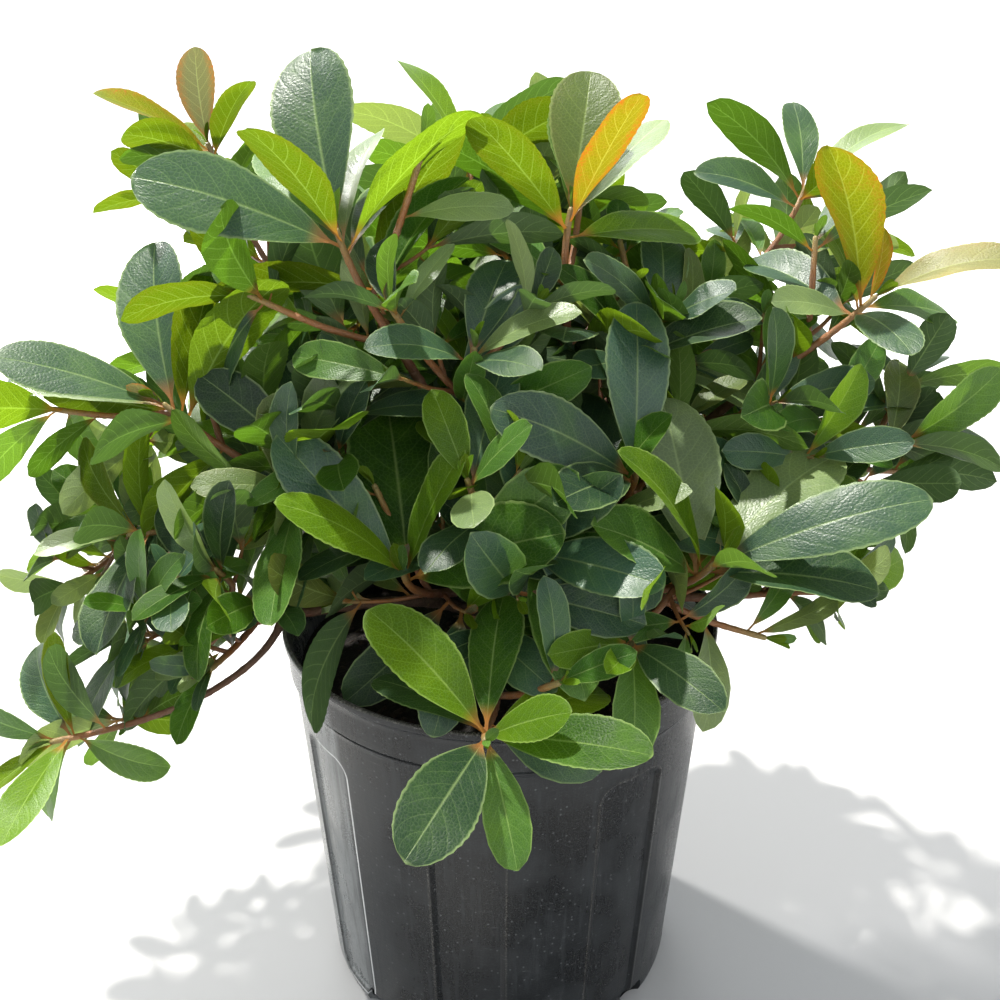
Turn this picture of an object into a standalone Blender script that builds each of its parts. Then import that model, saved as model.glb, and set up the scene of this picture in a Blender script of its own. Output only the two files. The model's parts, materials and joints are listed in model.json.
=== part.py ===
# Indian hawthorn shrub in a round nursery pot, built standing on the pot's flat underside.
# Metres, +Z up. The row's origin is the centre of the underside, and the front of the plant faces -Y.
# Solids: pot, soil, trunk, one tapering bough to each mass of foliage, and the masses.

import math
import random

import bpy
from mathutils import Vector
from mathutils.bvhtree import BVHTree

MM = 0.001
CM = 0.01

# Clear gap between neighbouring solids
GAP = 0.3 * MM

# Pot
POT_HEIGHT = 222 * MM
RIM_RADIUS = 115 * MM
LIP_INNER_RADIUS = 110 * MM
BAND_HEIGHT = 22 * MM
BAND_RADIUS = 112 * MM
BODY_TOP_RADIUS = 108.5 * MM
BODY_LOW_RADIUS = 97 * MM
CHAMFER_HEIGHT = 9 * MM
FOOT_RADIUS = 89 * MM
WALL = 3.2 * MM
FLOOR_TOP = 6 * MM
PANEL_COUNT = 8
PANEL_HALF_DEG = 9.7
PANEL_EDGE_DEG = 1.1
PANEL_DEPTH = 1.5 * MM
PANEL_TOP = 178 * MM
PANEL_FOOT = 14 * MM
PANEL_TURN_DEG = -98.5
HOLE_COUNT = 4
HOLE_WIDTH = 18 * MM
HOLE_HEIGHT = 16 * MM
HOLE_TURN_DEG = PANEL_TURN_DEG + 1.25 * 360.0 / PANEL_COUNT

# Soil
SOIL_EDGE = 194 * MM
SOIL_TOP = 200 * MM
SOIL_FLAT_RADIUS = 38 * MM
SOIL_ROUGHNESS = 1.4 * MM
SOIL_GAP = 0.5 * MM

# Trunk
TRUNK_FOOT = Vector((-10 * MM, 8 * MM, SOIL_TOP + GAP))
TRUNK_TIP = Vector((-6 * MM, 3 * MM, 262 * MM))
TRUNK_FLARE = 16 * MM
TRUNK_RADIUS = 10 * MM
TRUNK_TIP_RADIUS = 7.5 * MM
TRUNK_SIDES = 8

# Boughs and twigs
BOUGH_SIDES = 5
BOUGH_SPANS = 5
STEM_SPANS = 3
TWIG_SIDES = 3
BOUGH_SLENDER = 0.017
BOUGH_MAX_RADIUS = 5.2 * MM
BOUGH_MIN_RADIUS = 3.2 * MM
ENTRY_RADIUS = 2.3 * MM
TIP_RADIUS = 1.6 * MM
STEM_SHARE = 0.42
STEM_MIN = 42 * MM
STEM_MAX = 85 * MM

# Leaves
FRONT = Vector((0.0, -0.8, 0.6))
GOLDEN_TURN = math.radians(137.5)
LEAF_WIDTH = 0.39
LEAF_WAIST = 0.56
LEAF_SHOULDER = 0.94
SHOULDER_WIDTH = 0.52
LEAF_THICKNESS = 0.016
LEAF_DROOP = 0.36
BLADE_SHARE = 0.3
ROSETTE_RUN = 0.22
CLEARANCE = 0.5 * MM
SPACE_RADIUS = 155 * MM
LOWEST_LEAF = 118 * MM

# Shoots: name, parent, place along the parent, heart of the rosette in cm, azimuth and rise of its
# axis in degrees, leaf length in cm, leaves by rule, spin in degrees, twigs by rule, kind of leaf
SHOOTS = [
    ("crown_left", "trunk", 1.00, (-7.0, -2.0, 41.5), (170, 72), 7.4, 6, 300, 2, "fresh"),
    ("crown_right", "trunk", 0.90, (3.2, 1.0, 42.0), (60, 72), 7.0, 6, 150, 2, "fresh"),
    ("left", "trunk", 0.72, (-16.0, 0.0, 33.0), (180, 44), 7.0, 5, 250, 3, "fresh"),
    ("right", "trunk", 0.78, (18.0, 2.0, 38.0), (-8, 45), 5.8, 5, 300, 2, "fresh"),
    ("front_left", "trunk", 0.58, (-4.4, -6.0, 26.8), (-100, 62), 7.0, 6, 10, 1, "dark"),
    ("front_right", "trunk", 0.62, (9.3, -7.0, 27.8), (-40, 55), 7.0, 5, 300, 1, "fresh"),
    ("front_low", "trunk", 0.44, (-0.6, -13.4, 23.4), (-90, 34), 5.0, 3, 190, 1, "fresh"),
    ("left_low", "trunk", 0.26, (-17.8, -5.0, 23.4), (195, 8), 4.5, 9, 20, 2, "dark"),
    ("right_low", "trunk", 0.38, (16.0, -4.0, 25.2), (-15, 8), 4.9, 8, 75, 2, "dark"),
    ("back", "trunk", 0.84, (2.0, 17.0, 37.0), (80, 45), 6.8, 9, 0, 2, "dark"),
    ("back_left_low", "trunk", 0.46, (-14.5, 13.0, 27.0), (140, 25), 5.6, 8, 45, 2, "dark"),
    ("back_right_low", "trunk", 0.50, (13.5, 14.0, 26.6), (45, 22), 5.6, 8, 110, 2, "dark"),
    ("back_low", "trunk", 0.34, (-1.0, 18.0, 25.6), (95, 20), 5.2, 8, 70, 1, "dark"),
    ("crown_back_left", "left", 0.42, (-15.4, 9.5, 44.4), (150, 68), 5.4, 6, 240, 2, "fresh"),
    ("crown_back", "crown_right", 0.45, (-1.7, 11.0, 43.6), (95, 70), 6.4, 7, 15, 2, "dark"),
    ("crown_back_right", "right", 0.46, (16.8, 11.0, 42.0), (30, 66), 5.4, 6, 35, 2, "fresh"),
    ("right_middle", "right", 0.52, (19.6, -0.5, 31.6), (-10, 30), 5.6, 8, 20, 2, "dark"),
    ("middle", "crown_left", 0.46, (-1.2, -4.2, 37.0), (-70, 70), 5.4, 7, 60, 2, "dark"),
    ("inner_right", "crown_right", 0.38, (8.0, 1.5, 37.2), (-20, 60), 5.6, 7, 310, 2, "dark"),
    ("front_middle", "front_right", 0.40, (6.2, -5.0, 31.6), (-95, 58), 6.2, 6, 85, 1, "dark"),
    ("far_left", "left", 0.50, (-21.8, 3.0, 25.6), (175, 20), 4.9, 7, 0, 2, "dark"),
    ("far_left_low", "left_low", 0.58, (-20.0, -9.6, 20.6), (205, 5), 4.6, 5, 25, 0, "fresh"),
    ("back_left", "back", 0.40, (-9.5, 15.5, 34.5), (120, 45), 6.4, 8, 50, 2, "dark"),
    ("back_right", "back", 0.44, (10.5, 15.0, 34.0), (50, 42), 6.4, 8, 90, 1, "dark"),
    ("inner_left", "left", 0.30, (-9.6, -1.5, 31.0), (210, 58), 6.2, 8, 0, 1, "dark"),
    ("inner_back", "back", 0.26, (2.5, 8.0, 34.0), (40, 72), 6.2, 8, 120, 2, "dark"),
    ("centre", "front_left", 0.30, (1.4, -6.6, 28.6), (-70, 50), 6.2, 8, 40, 1, "dark"),
    ("inner_low", "trunk", 0.56, (-1.5, 8.6, 28.4), (100, 50), 6.2, 8, 0, 1, "dark"),
]

# Leaves that stand out in the photo: azimuth and rise of the line from root to tip, length in cm
STAR_LEAVES = {
    "crown_left": [(-164, 23, 9.0), (114, 58, 8.6), (-118, 42, 7.0), (4, 44, 7.8), (77, 46, 6.2)],
    "crown_right": [(-137, 42, 7.0), (72, 58, 7.4), (-55, 50, 7.0), (37, 34, 7.2)],
    "left": [(-162, 26, 7.6), (113, 58, 8.2), (-10, 58, 7.6), (164, -2, 6.6), (172, 14, 8.6)],
    "right": [(-145, 66, 6.8), (20, 80, 3.4), (-20, 26, 6.4), (-86, 0, 5.4), (140, 26, 6.4), (-151, 16, 5.0)],
    "front_left": [(110, 50, 9.2), (-21, 66, 6.5), (-147, 46, 7.0)],
    "front_right": [(99, 45, 8.4), (32, 30, 8.8), (-11, 28, 9.2), (-152, 36, 6.4), (-155, 58, 7.0)],
    "front_low": [(156, 43, 6.6), (81, 38, 6.2), (40, 8, 6.0), (-36, 36, 4.6), (-32, 14, 6.4),
                  (-113, -2, 5.8), (144, 8, 5.6)],
    "crown_back_left": [(-167, 84, 4.2), (-47, 48, 4.4), (-161, 30, 4.6), (-131, 18, 5.2)],
    "crown_back": [(135, 46, 6.0), (-38, 30, 6.6)],
    "crown_back_right": [(86, 50, 4.8), (-69, 32, 4.6), (29, 32, 5.8), (-160, 24, 5.6)],
    "right_middle": [(71, 42, 4.8), (-9, 42, 5.0)],
    "middle": [(64, 45, 5.4), (-142, 22, 4.8), (-52, 12, 4.5)],
    "inner_right": [(84, 50, 5.4), (-142, 42, 5.6), (-58, 26, 4.8)],
    "front_middle": [(-154, 36, 7.6), (123, 26, 6.4)],
    "far_left_low": [(-93, -4, 5.6), (-26, -4, 4.6), (-171, 30, 4.8), (131, 30, 5.0)],
}

# Twigs that branch from a mass's own stem: mass, place along it, heart, axis, length, leaves, spin
SIDE_SHOOTS = [
    ("front_right", 0.55, (5.6, -9.4, 25.4), (-90, 30), 4.6, 7, 40),
    ("left_low", 0.35, (-12.8, -6.0, 27.4), (230, 30), 4.8, 8, 65),
    ("left", 0.40, (-17.4, -3.4, 27.8), (195, 30), 5.6, 7, 95),
]


# Scene cleared
for old in list(bpy.data.objects):
    bpy.data.objects.remove(old, do_unlink=True)


# Materials
def material(name, colour, roughness):
    mat = bpy.data.materials.new(name)
    mat.use_nodes = True
    shader = mat.node_tree.nodes["Principled BSDF"]
    shader.inputs["Base Color"].default_value = (*colour, 1.0)
    shader.inputs["Roughness"].default_value = roughness
    return mat


MATERIALS = {
    "pot": material("pot_plastic", (0.035, 0.038, 0.042), 0.5),
    "soil": material("potting_soil", (0.035, 0.022, 0.014), 0.95),
    "bark": material("bark", (0.16, 0.085, 0.055), 0.8),
    "dark": material("leaf_dark", (0.045, 0.115, 0.05), 0.4),
    "fresh": material("leaf_fresh", (0.10, 0.21, 0.045), 0.4),
}


def make_object(name, verts, faces, kind):
    mesh = bpy.data.meshes.new(name)
    mesh.from_pydata([tuple(v) for v in verts], [], faces)
    mesh.validate()
    mesh.update()
    mesh.materials.append(MATERIALS[kind])
    obj = bpy.data.objects.new(name, mesh)
    bpy.context.scene.collection.objects.link(obj)
    return obj


def tree_of(verts, faces):
    return BVHTree.FromPolygons([tuple(v) for v in verts], faces, epsilon=0.0)


# Rings stacked into a closed body of revolution: each ring is a function of the column's angle
def stacked_rings(rings, angles, first_point, last_point):
    count = len(angles)
    verts = [Vector(first_point)]
    for ring in rings:
        for index, angle in enumerate(angles):
            radius, height = ring(index, angle)
            verts.append(Vector((radius * math.cos(angle), radius * math.sin(angle), height)))
    verts.append(Vector(last_point))
    last = len(verts) - 1
    faces = []
    for i in range(count):
        j = (i + 1) % count
        faces.append((0, 1 + j, 1 + i))
        for r in range(len(rings) - 1):
            low = 1 + r * count
            high = low + count
            faces.append((low + i, low + j, high + j, high + i))
        top = 1 + (len(rings) - 1) * count
        faces.append((top + i, top + j, last))
    return verts, faces


# Columns of the pot: between two panels, at both edges of a panel, and at its middle
def pot_columns():
    angles = []
    sunk = []
    pitch = 360.0 / PANEL_COUNT
    inner = PANEL_HALF_DEG - PANEL_EDGE_DEG
    for k in range(PANEL_COUNT):
        middle = PANEL_TURN_DEG + k * pitch
        for offset, deep in ((-pitch / 2, 0), (-PANEL_HALF_DEG, 0), (-inner, 1),
                             (0, 1), (inner, 1), (PANEL_HALF_DEG, 0)):
            angles.append(math.radians(middle + offset))
            sunk.append(deep)
    return angles, sunk


COLUMN_ANGLES, COLUMN_SUNK = pot_columns()


def body_radius(height):
    share = (height - CHAMFER_HEIGHT) / (POT_HEIGHT - BAND_HEIGHT - CHAMFER_HEIGHT)
    return BODY_LOW_RADIUS + (BODY_TOP_RADIUS - BODY_LOW_RADIUS) * share


def plain_ring(radius, height):
    return lambda index, angle: (radius, height)


def panel_ring(height):
    return lambda index, angle: (body_radius(height) - PANEL_DEPTH * COLUMN_SUNK[index], height)


def make_pot():
    band_foot = POT_HEIGHT - BAND_HEIGHT
    step = 2.5 * MM
    rings = [
        plain_ring(FOOT_RADIUS, 0.0),
        plain_ring(body_radius(CHAMFER_HEIGHT), CHAMFER_HEIGHT),
        plain_ring(body_radius(PANEL_FOOT), PANEL_FOOT),
        panel_ring(PANEL_FOOT + step),
        panel_ring(PANEL_TOP - step),
        plain_ring(body_radius(PANEL_TOP), PANEL_TOP),
        plain_ring(body_radius(band_foot), band_foot - 1.0 * MM),
        plain_ring(BAND_RADIUS, band_foot + 0.5 * MM),
        plain_ring(BAND_RADIUS + 0.6 * MM, POT_HEIGHT - 6.5 * MM),
        plain_ring(RIM_RADIUS, POT_HEIGHT - 4.5 * MM),
        plain_ring(RIM_RADIUS - 0.4 * MM, POT_HEIGHT),
        plain_ring(LIP_INNER_RADIUS, POT_HEIGHT),
        plain_ring(BAND_RADIUS - WALL, band_foot + 1.5 * MM),
        plain_ring(body_radius(band_foot) - WALL, band_foot - 2.0 * MM),
        plain_ring(body_radius(CHAMFER_HEIGHT + 2 * MM) - WALL, CHAMFER_HEIGHT + 2 * MM),
        plain_ring(body_radius(CHAMFER_HEIGHT) - WALL - 3 * MM, FLOOR_TOP),
    ]
    verts, faces = stacked_rings(rings, COLUMN_ANGLES, (0, 0, 0), (0, 0, FLOOR_TOP))
    pot = make_object("pot", verts, faces, "pot")
    cutters = bpy.data.collections.new("pot_hole_cutters")
    bpy.context.scene.collection.children.link(cutters)
    for k in range(HOLE_COUNT):
        turn = math.radians(HOLE_TURN_DEG + k * 360.0 / HOLE_COUNT)
        half_w = HOLE_WIDTH / 2
        corner = 3 * MM
        across = [(-half_w, 2.6 * MM + corner), (-half_w + corner, 2.6 * MM), (half_w - corner, 2.6 * MM),
                  (half_w, 2.6 * MM + corner), (half_w, HOLE_HEIGHT + 2.6 * MM), (-half_w, HOLE_HEIGHT + 2.6 * MM)]
        verts = []
        for reach in (FOOT_RADIUS - 14 * MM, FOOT_RADIUS + 14 * MM):
            for side, height in across:
                x = reach * math.cos(turn) - side * math.sin(turn)
                y = reach * math.sin(turn) + side * math.cos(turn)
                verts.append(Vector((x, y, height)))
        faces = [tuple(range(5, -1, -1)), tuple(range(6, 12))]
        faces += [(i, (i + 1) % 6, 6 + (i + 1) % 6, 6 + i) for i in range(6)]
        cutter = make_object("hole_cutter_%d" % k, verts, faces, "pot")
        bpy.context.scene.collection.objects.unlink(cutter)
        cutters.objects.link(cutter)
    join_or_cut(pot, cutters, "DIFFERENCE", "EXACT")
    return pot


# One Boolean with a collection as its operand, applied, and the collection's objects removed
def join_or_cut(obj, collection, operation, solver):
    mod = obj.modifiers.new("join", "BOOLEAN")
    mod.operation = operation
    mod.operand_type = "COLLECTION"
    mod.collection = collection
    mod.solver = solver
    bpy.context.view_layer.update()
    graph = bpy.context.evaluated_depsgraph_get()
    made = bpy.data.meshes.new_from_object(obj.evaluated_get(graph))
    obj.modifiers.clear()
    old = obj.data
    made.name = obj.name
    obj.data = made
    bpy.data.meshes.remove(old)
    for item in list(collection.objects):
        bpy.data.objects.remove(item, do_unlink=True)
    bpy.data.collections.remove(collection)


def make_soil():
    rng = random.Random(11)
    wall_low = CHAMFER_HEIGHT + 2 * MM
    angles = COLUMN_ANGLES[::2]
    rough = [[rng.uniform(-1, 1) * SOIL_ROUGHNESS for _ in angles] for _ in range(3)]

    def wall(height):
        band_foot = POT_HEIGHT - BAND_HEIGHT - 2 * MM
        low = body_radius(wall_low) - WALL
        high = body_radius(POT_HEIGHT - BAND_HEIGHT) - WALL
        return low + (high - low) * (height - wall_low) / (band_foot - wall_low) - SOIL_GAP

    def surface(radius, height, row):
        return lambda index, angle: (radius, height + rough[row][index])

    def edge(index, angle):
        height = SOIL_EDGE + rough[0][index]
        return wall(height), height

    rings = [
        plain_ring(body_radius(CHAMFER_HEIGHT) - WALL - 3.6 * MM, FLOOR_TOP + SOIL_GAP),
        plain_ring(wall(wall_low + 1 * MM), wall_low + 1 * MM),
        edge,
        surface(0.86 * BODY_TOP_RADIUS, SOIL_EDGE + 1.0 * MM, 1),
        surface(0.62 * BODY_TOP_RADIUS, SOIL_EDGE + 3.6 * MM, 2),
        plain_ring(SOIL_FLAT_RADIUS, SOIL_TOP),
    ]
    verts, faces = stacked_rings(rings, angles, (0, 0, FLOOR_TOP + SOIL_GAP), (0, 0, SOIL_TOP))
    return make_object("soil", verts, faces, "soil")


# Tube through the points, with its own radius at each; its end rings may face their own way
def tube(points, radii, sides, first_normal=None, last_normal=None):
    count = len(points)
    tangents = []
    for i in range(count):
        ahead = points[min(i + 1, count - 1)]
        behind = points[max(i - 1, 0)]
        tangents.append((ahead - behind).normalized())
    if first_normal is not None:
        tangents[0] = first_normal
    if last_normal is not None:
        tangents[-1] = last_normal
    side = tangents[0].orthogonal().normalized()
    verts = []
    for i in range(count):
        tangent = tangents[i]
        side = (side - tangent * side.dot(tangent)).normalized()
        other = tangent.cross(side)
        for k in range(sides):
            turn = 2 * math.pi * k / sides
            verts.append(points[i] + (side * math.cos(turn) + other * math.sin(turn)) * radii[i])
    faces = [tuple(range(sides - 1, -1, -1)), tuple(range((count - 1) * sides, count * sides))]
    for i in range(count - 1):
        for k in range(sides):
            j = (k + 1) % sides
            low = i * sides
            faces.append((low + k, low + j, low + sides + j, low + sides + k))
    return verts, faces


def unit(azimuth, rise):
    a = math.radians(azimuth)
    r = math.radians(rise)
    return Vector((math.cos(a) * math.cos(r), math.sin(a) * math.cos(r), math.sin(r)))


def curve_points(start, leave, tip, axis, spans, sway):
    reach = (tip - start).length
    a = start + leave * (0.30 * reach)
    b = tip - axis * (0.36 * reach)
    aside = axis.cross(tip - start)
    aside = aside.normalized() if aside.length > 1e-6 else Vector((1, 0, 0))
    points = []
    for i in range(spans + 1):
        t = i / spans
        p = start * (1 - t) ** 3 + a * 3 * t * (1 - t) ** 2 + b * 3 * t * t * (1 - t) + tip * t ** 3
        p = p + aside * sway * math.sin(math.pi * t) * math.sin(2.3 * math.pi * t)
        points.append(p)
    return points


# Place on a line of points at a share of its length, with the way it runs there
def along_line(points, share):
    lengths = [0.0]
    for a, b in zip(points, points[1:]):
        lengths.append(lengths[-1] + (b - a).length)
    want = share * lengths[-1]
    for i in range(len(points) - 1):
        if lengths[i + 1] >= want or i == len(points) - 2:
            span = lengths[i + 1] - lengths[i]
            t = min(1.0, max(0.0, (want - lengths[i]) / span))
            return points[i].lerp(points[i + 1], t), (points[i + 1] - points[i]).normalized()


def line_length(points):
    return sum((b - a).length for a, b in zip(points, points[1:]))


def cut_line(points, from_share, to_share, spans):
    return [along_line(points, from_share + (to_share - from_share) * i / spans)[0] for i in range(spans + 1)]


# A limb: its whole line, its radius at both ends, and where its mass begins
def radius_at(limb, share):
    if limb["name"] == "trunk":
        return trunk_radius(share)
    entry = limb["entry"]
    if share <= entry:
        return limb["base_radius"] + (limb["entry_radius"] - limb["base_radius"]) * share / entry
    return limb["entry_radius"] + (TIP_RADIUS - limb["entry_radius"]) * (share - entry) / (1 - entry)


def trunk_radius(share):
    if share < 1 / 6:
        return TRUNK_FLARE + (TRUNK_RADIUS - TRUNK_FLARE) * share * 6
    return TRUNK_RADIUS + (TRUNK_TIP_RADIUS - TRUNK_RADIUS) * (share * 6 - 1) / 5


def trunk_limb():
    points = []
    for i in range(7):
        t = i / 6
        p = TRUNK_FOOT.lerp(TRUNK_TIP, t)
        p.x += 2.5 * MM * math.sin(math.pi * t)
        points.append(p)
    return {"name": "trunk", "line": points}


# Limbs: each leaves its parent square to it, a gap clear of its skin, and bends to its mass
def grow_limbs():
    rng = random.Random(7)
    limbs = {"trunk": trunk_limb()}
    for name, parent, share, heart, axis, length, leaves, spin, twigs, kind in SHOOTS:
        axis = unit(*axis)
        tip = Vector(heart) * CM + axis * (0.5 * ROSETTE_RUN * length * CM)
        host = limbs[parent]
        at, way = along_line(host["line"], share)
        if share >= 1.0:
            leave = way
            start = at + way * GAP
        else:
            leave = tip - at
            leave = (leave - way * leave.dot(way)).normalized()
            start = at + leave * (radius_at(host, share) + GAP)
        square = leave.copy()
        lift = (leave + way * 0.45).normalized() if share < 1.0 else leave
        line = curve_points(start, lift, tip, axis, 24, rng.uniform(-5, 5) * MM)
        total = line_length(line)
        stem = min(STEM_MAX, max(STEM_MIN, STEM_SHARE * total))
        base = min(BOUGH_MAX_RADIUS, max(BOUGH_MIN_RADIUS, BOUGH_SLENDER * total))
        base = min(base, 0.8 * radius_at(host, min(share, 1.0)))
        limbs[name] = {"name": name, "line": line, "entry": 1 - stem / total, "base_radius": base,
                       "entry_radius": min(ENTRY_RADIUS, 0.8 * base), "square": square, "axis": axis,
                       "length": length * CM, "leaves": leaves, "spin": math.radians(spin),
                       "twigs": twigs, "kind": kind, "parent": parent}
    return limbs


# Solid bodies that leaves and twigs keep clear of: list of (owner, tree, centre, radius)
OBSTACLES = []


def add_obstacle(owner, verts, faces):
    centre = Vector((0, 0, 0))
    for v in verts:
        centre += v
    centre /= len(verts)
    radius = max((v - centre).length for v in verts)
    OBSTACLES.append((owner, tree_of(verts, faces), centre, radius))


def touches(verts, faces, skip):
    centre = Vector((0, 0, 0))
    for v in verts:
        centre += v
    centre /= len(verts)
    radius = max((v - centre).length for v in verts)
    tree = None
    for owner, other, middle, reach in OBSTACLES:
        if owner in skip:
            continue
        if (middle - centre).length > reach + radius:
            continue
        if tree is None:
            tree = tree_of(verts, faces)
        if tree.overlap(other):
            return True
    return False


# Shoots of a mass: its own stem first, then the named twigs, then the twigs added by rule
def grow_twigs(limbs):
    rng = random.Random(23)
    shoots = []
    tips = []
    for name, limb in limbs.items():
        if name == "trunk":
            continue
        line = limb["line"]
        gap_share = GAP / line_length(line)
        stem = cut_line(line, limb["entry"] + gap_share, 1.0, STEM_SPANS)
        radii = [limb["entry_radius"] + (TIP_RADIUS - limb["entry_radius"]) * i / STEM_SPANS
                 for i in range(STEM_SPANS + 1)]
        entry_way = along_line(line, limb["entry"])[1]
        shoots.append({"mass": name, "line": stem, "radii": radii, "axis": limb["axis"],
                       "length": limb["length"], "leaves": limb["leaves"], "spin": limb["spin"],
                       "kind": limb["kind"], "main": True, "entry_way": entry_way})
        tips.append(line[-1])
        verts, faces = tube(stem, radii, TWIG_SIDES, entry_way)
        add_obstacle("twig of " + name, verts, faces)
    stems = {shoot["mass"]: shoot for shoot in shoots}
    for mass, share, heart, axis, length, leaves, spin in SIDE_SHOOTS:
        at, way = along_line(stems[mass]["line"], share)
        tip = Vector(heart) * CM + unit(*axis) * (0.5 * ROSETTE_RUN * length * CM)
        line = curve_points(at, (tip - at).normalized(), tip, unit(*axis), 3, 1.0 * MM)
        shoots.append(twig_shoot(mass, line, unit(*axis), length * CM, leaves, math.radians(spin),
                                 limbs[mass]["kind"]))
        tips.append(tip)
    for name, limb in limbs.items():
        if name == "trunk":
            continue
        for k in range(limb["twigs"]):
            shoot = best_twig(name, limb, stems[name], k, tips, rng)
            if shoot is not None:
                shoots.append(shoot)
                tips.append(shoot["line"][-1])
    return shoots


def twig_shoot(mass, line, axis, length, leaves, spin, kind):
    count = len(line) - 1
    radii = [1.7 * MM + (TIP_RADIUS - 1.7 * MM) * i / count for i in range(count + 1)]
    shoot = {"mass": mass, "line": line, "radii": radii, "axis": axis, "length": length,
             "leaves": leaves, "spin": spin, "kind": kind, "main": False}
    verts, faces = tube(line, radii, TWIG_SIDES)
    add_obstacle("twig of " + mass, verts, faces)
    return shoot


# Of ten ways that a twig could turn, the one whose tip lies farthest from the others and clears all
def best_twig(name, limb, stem, k, tips, rng):
    share = 0.12 + 0.36 * k + rng.uniform(0, 0.08)
    at, way = along_line(stem["line"], share)
    side = way.orthogonal().normalized()
    other = way.cross(side)
    first = rng.uniform(0, 2 * math.pi)
    reach = limb["length"] * rng.uniform(0.85, 1.05)
    best = None
    for j in range(10):
        turn = first + j * math.pi / 5
        opening = math.radians(52)
        out = way * math.cos(opening) + (side * math.cos(turn) + other * math.sin(turn)) * math.sin(opening)
        axis = (out + Vector((0, 0, 0.35))).normalized()
        tip = at + out * reach * 0.6 + axis * reach * 0.4
        flat = math.hypot(tip.x, tip.y)
        if tip.z < 150 * MM or (tip.z < POT_HEIGHT + 30 * MM and flat < RIM_RADIUS + 25 * MM):
            continue
        if name in STAR_LEAVES and tip.y < stem["line"][-1].y + 5 * MM:
            continue
        line = curve_points(at, out, tip, axis, 2, 0.8 * MM)
        verts, faces = tube(line, [3.2 * MM] * 3, TWIG_SIDES)
        if touches(verts, faces, {"twig of " + name}):
            continue
        score = min((tip - t).length for t in tips)
        if best is None or score > best[0]:
            best = (score, line, axis)
    if best is None or best[0] < 25 * MM:
        return None
    leaves = 6 if limb["leaves"] < 9 else 7
    return twig_shoot(name, best[1], best[2], limb["length"] * 0.8, leaves,
                      rng.uniform(0, 2 * math.pi), limb["kind"])


# Leaf solid: a thin folded blade, pointed at its sunk root, widest past its middle, keeled below
def leaf_solid(leaf, grow=0.0, root_share=0.0):
    base = leaf["base"]
    d = leaf["way"]
    n = leaf["up"]
    across = n.cross(d)
    length = leaf["length"] + grow
    half = leaf["width"] * leaf["length"] / 2 + grow
    thick = max(LEAF_THICKNESS * leaf["length"], 0.7 * MM) + grow

    def at(x, y, z):
        sag = leaf["bend"] * x * x / 2
        return base + d * (x * length) + across * (y * half) + n * (z - sag * length)

    root_drop = leaf["bend"] * root_share * (root_share - LEAF_WAIST) / 2 * length
    verts = [
        at(root_share, 0.0, root_drop),
        at(LEAF_WAIST, 1.0, grow),
        at(LEAF_WAIST, -1.0, grow),
        at(LEAF_SHOULDER, SHOULDER_WIDTH, grow / 2),
        at(LEAF_SHOULDER, -SHOULDER_WIDTH, grow / 2),
        at(LEAF_WAIST, 0.0, -thick),
    ]
    faces = [(0, 2, 1), (2, 4, 3), (2, 3, 1), (0, 1, 5), (0, 5, 2), (5, 1, 3), (5, 3, 4), (5, 4, 2)]
    return verts, faces


# Leaves of a shoot: the ones that stand out, then a rosette turned by the golden angle, wide open
# below and closing to the tip, then one or two leaves lower on the stem
def shoot_leaves(shoot, rng):
    leaves = []
    line = shoot["line"]
    axis = shoot["axis"]
    up = Vector((0, 0, 1))
    side = up - axis * up.dot(axis)
    side = side.normalized() if side.length > 0.05 else Vector((1, 0, 0))
    other = axis.cross(side)
    stars = STAR_LEAVES.get(shoot["mass"], []) if shoot["main"] else []
    for azimuth, rise, length in stars:
        leaves.append(make_leaf(shoot, axis, unit(azimuth, rise), length * CM, rng, "star"))
    count = shoot["leaves"]
    for k in range(count):
        f = k / (count - 1)
        turn = shoot["spin"] + k * GOLDEN_TURN + rng.uniform(-0.12, 0.12)
        opening = math.radians(80 - 46 * f + rng.uniform(-7, 7))
        size = (0.86 + 0.30 * f if f < 0.45 else 1.0 - 0.55 * (f - 0.45)) * rng.uniform(0.93, 1.05)
        radial = side * math.cos(turn) + other * math.sin(turn)
        way = (axis * math.cos(opening) + radial * math.sin(opening) + up * 0.1).normalized()
        if all(way.angle(star["way"]) > 0.5 for star in leaves[:len(stars)]):
            leaves.append(make_leaf(shoot, axis, way, shoot["length"] * size, rng, "ring"))
    for k in range(2 if shoot["main"] else 1):
        share = 1 - (ROSETTE_RUN + 0.30 + 0.34 * k) * shoot["length"] / line_length(line)
        if share < 0.12:
            continue
        at, way = along_line(line, share)
        turn = shoot["spin"] + (count + k) * GOLDEN_TURN + rng.uniform(-0.2, 0.2)
        first = (side - way * side.dot(way)).normalized()
        radial = first * math.cos(turn) + way.cross(first) * math.sin(turn)
        opening = math.radians(rng.uniform(62, 78))
        out = way * math.cos(opening) + radial * math.sin(opening) + up * 0.1
        length = shoot["length"] * rng.uniform(0.72, 0.88)
        leaves.append(make_leaf(shoot, way, out.normalized(), length, rng, "lower", at))
    return leaves


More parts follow.
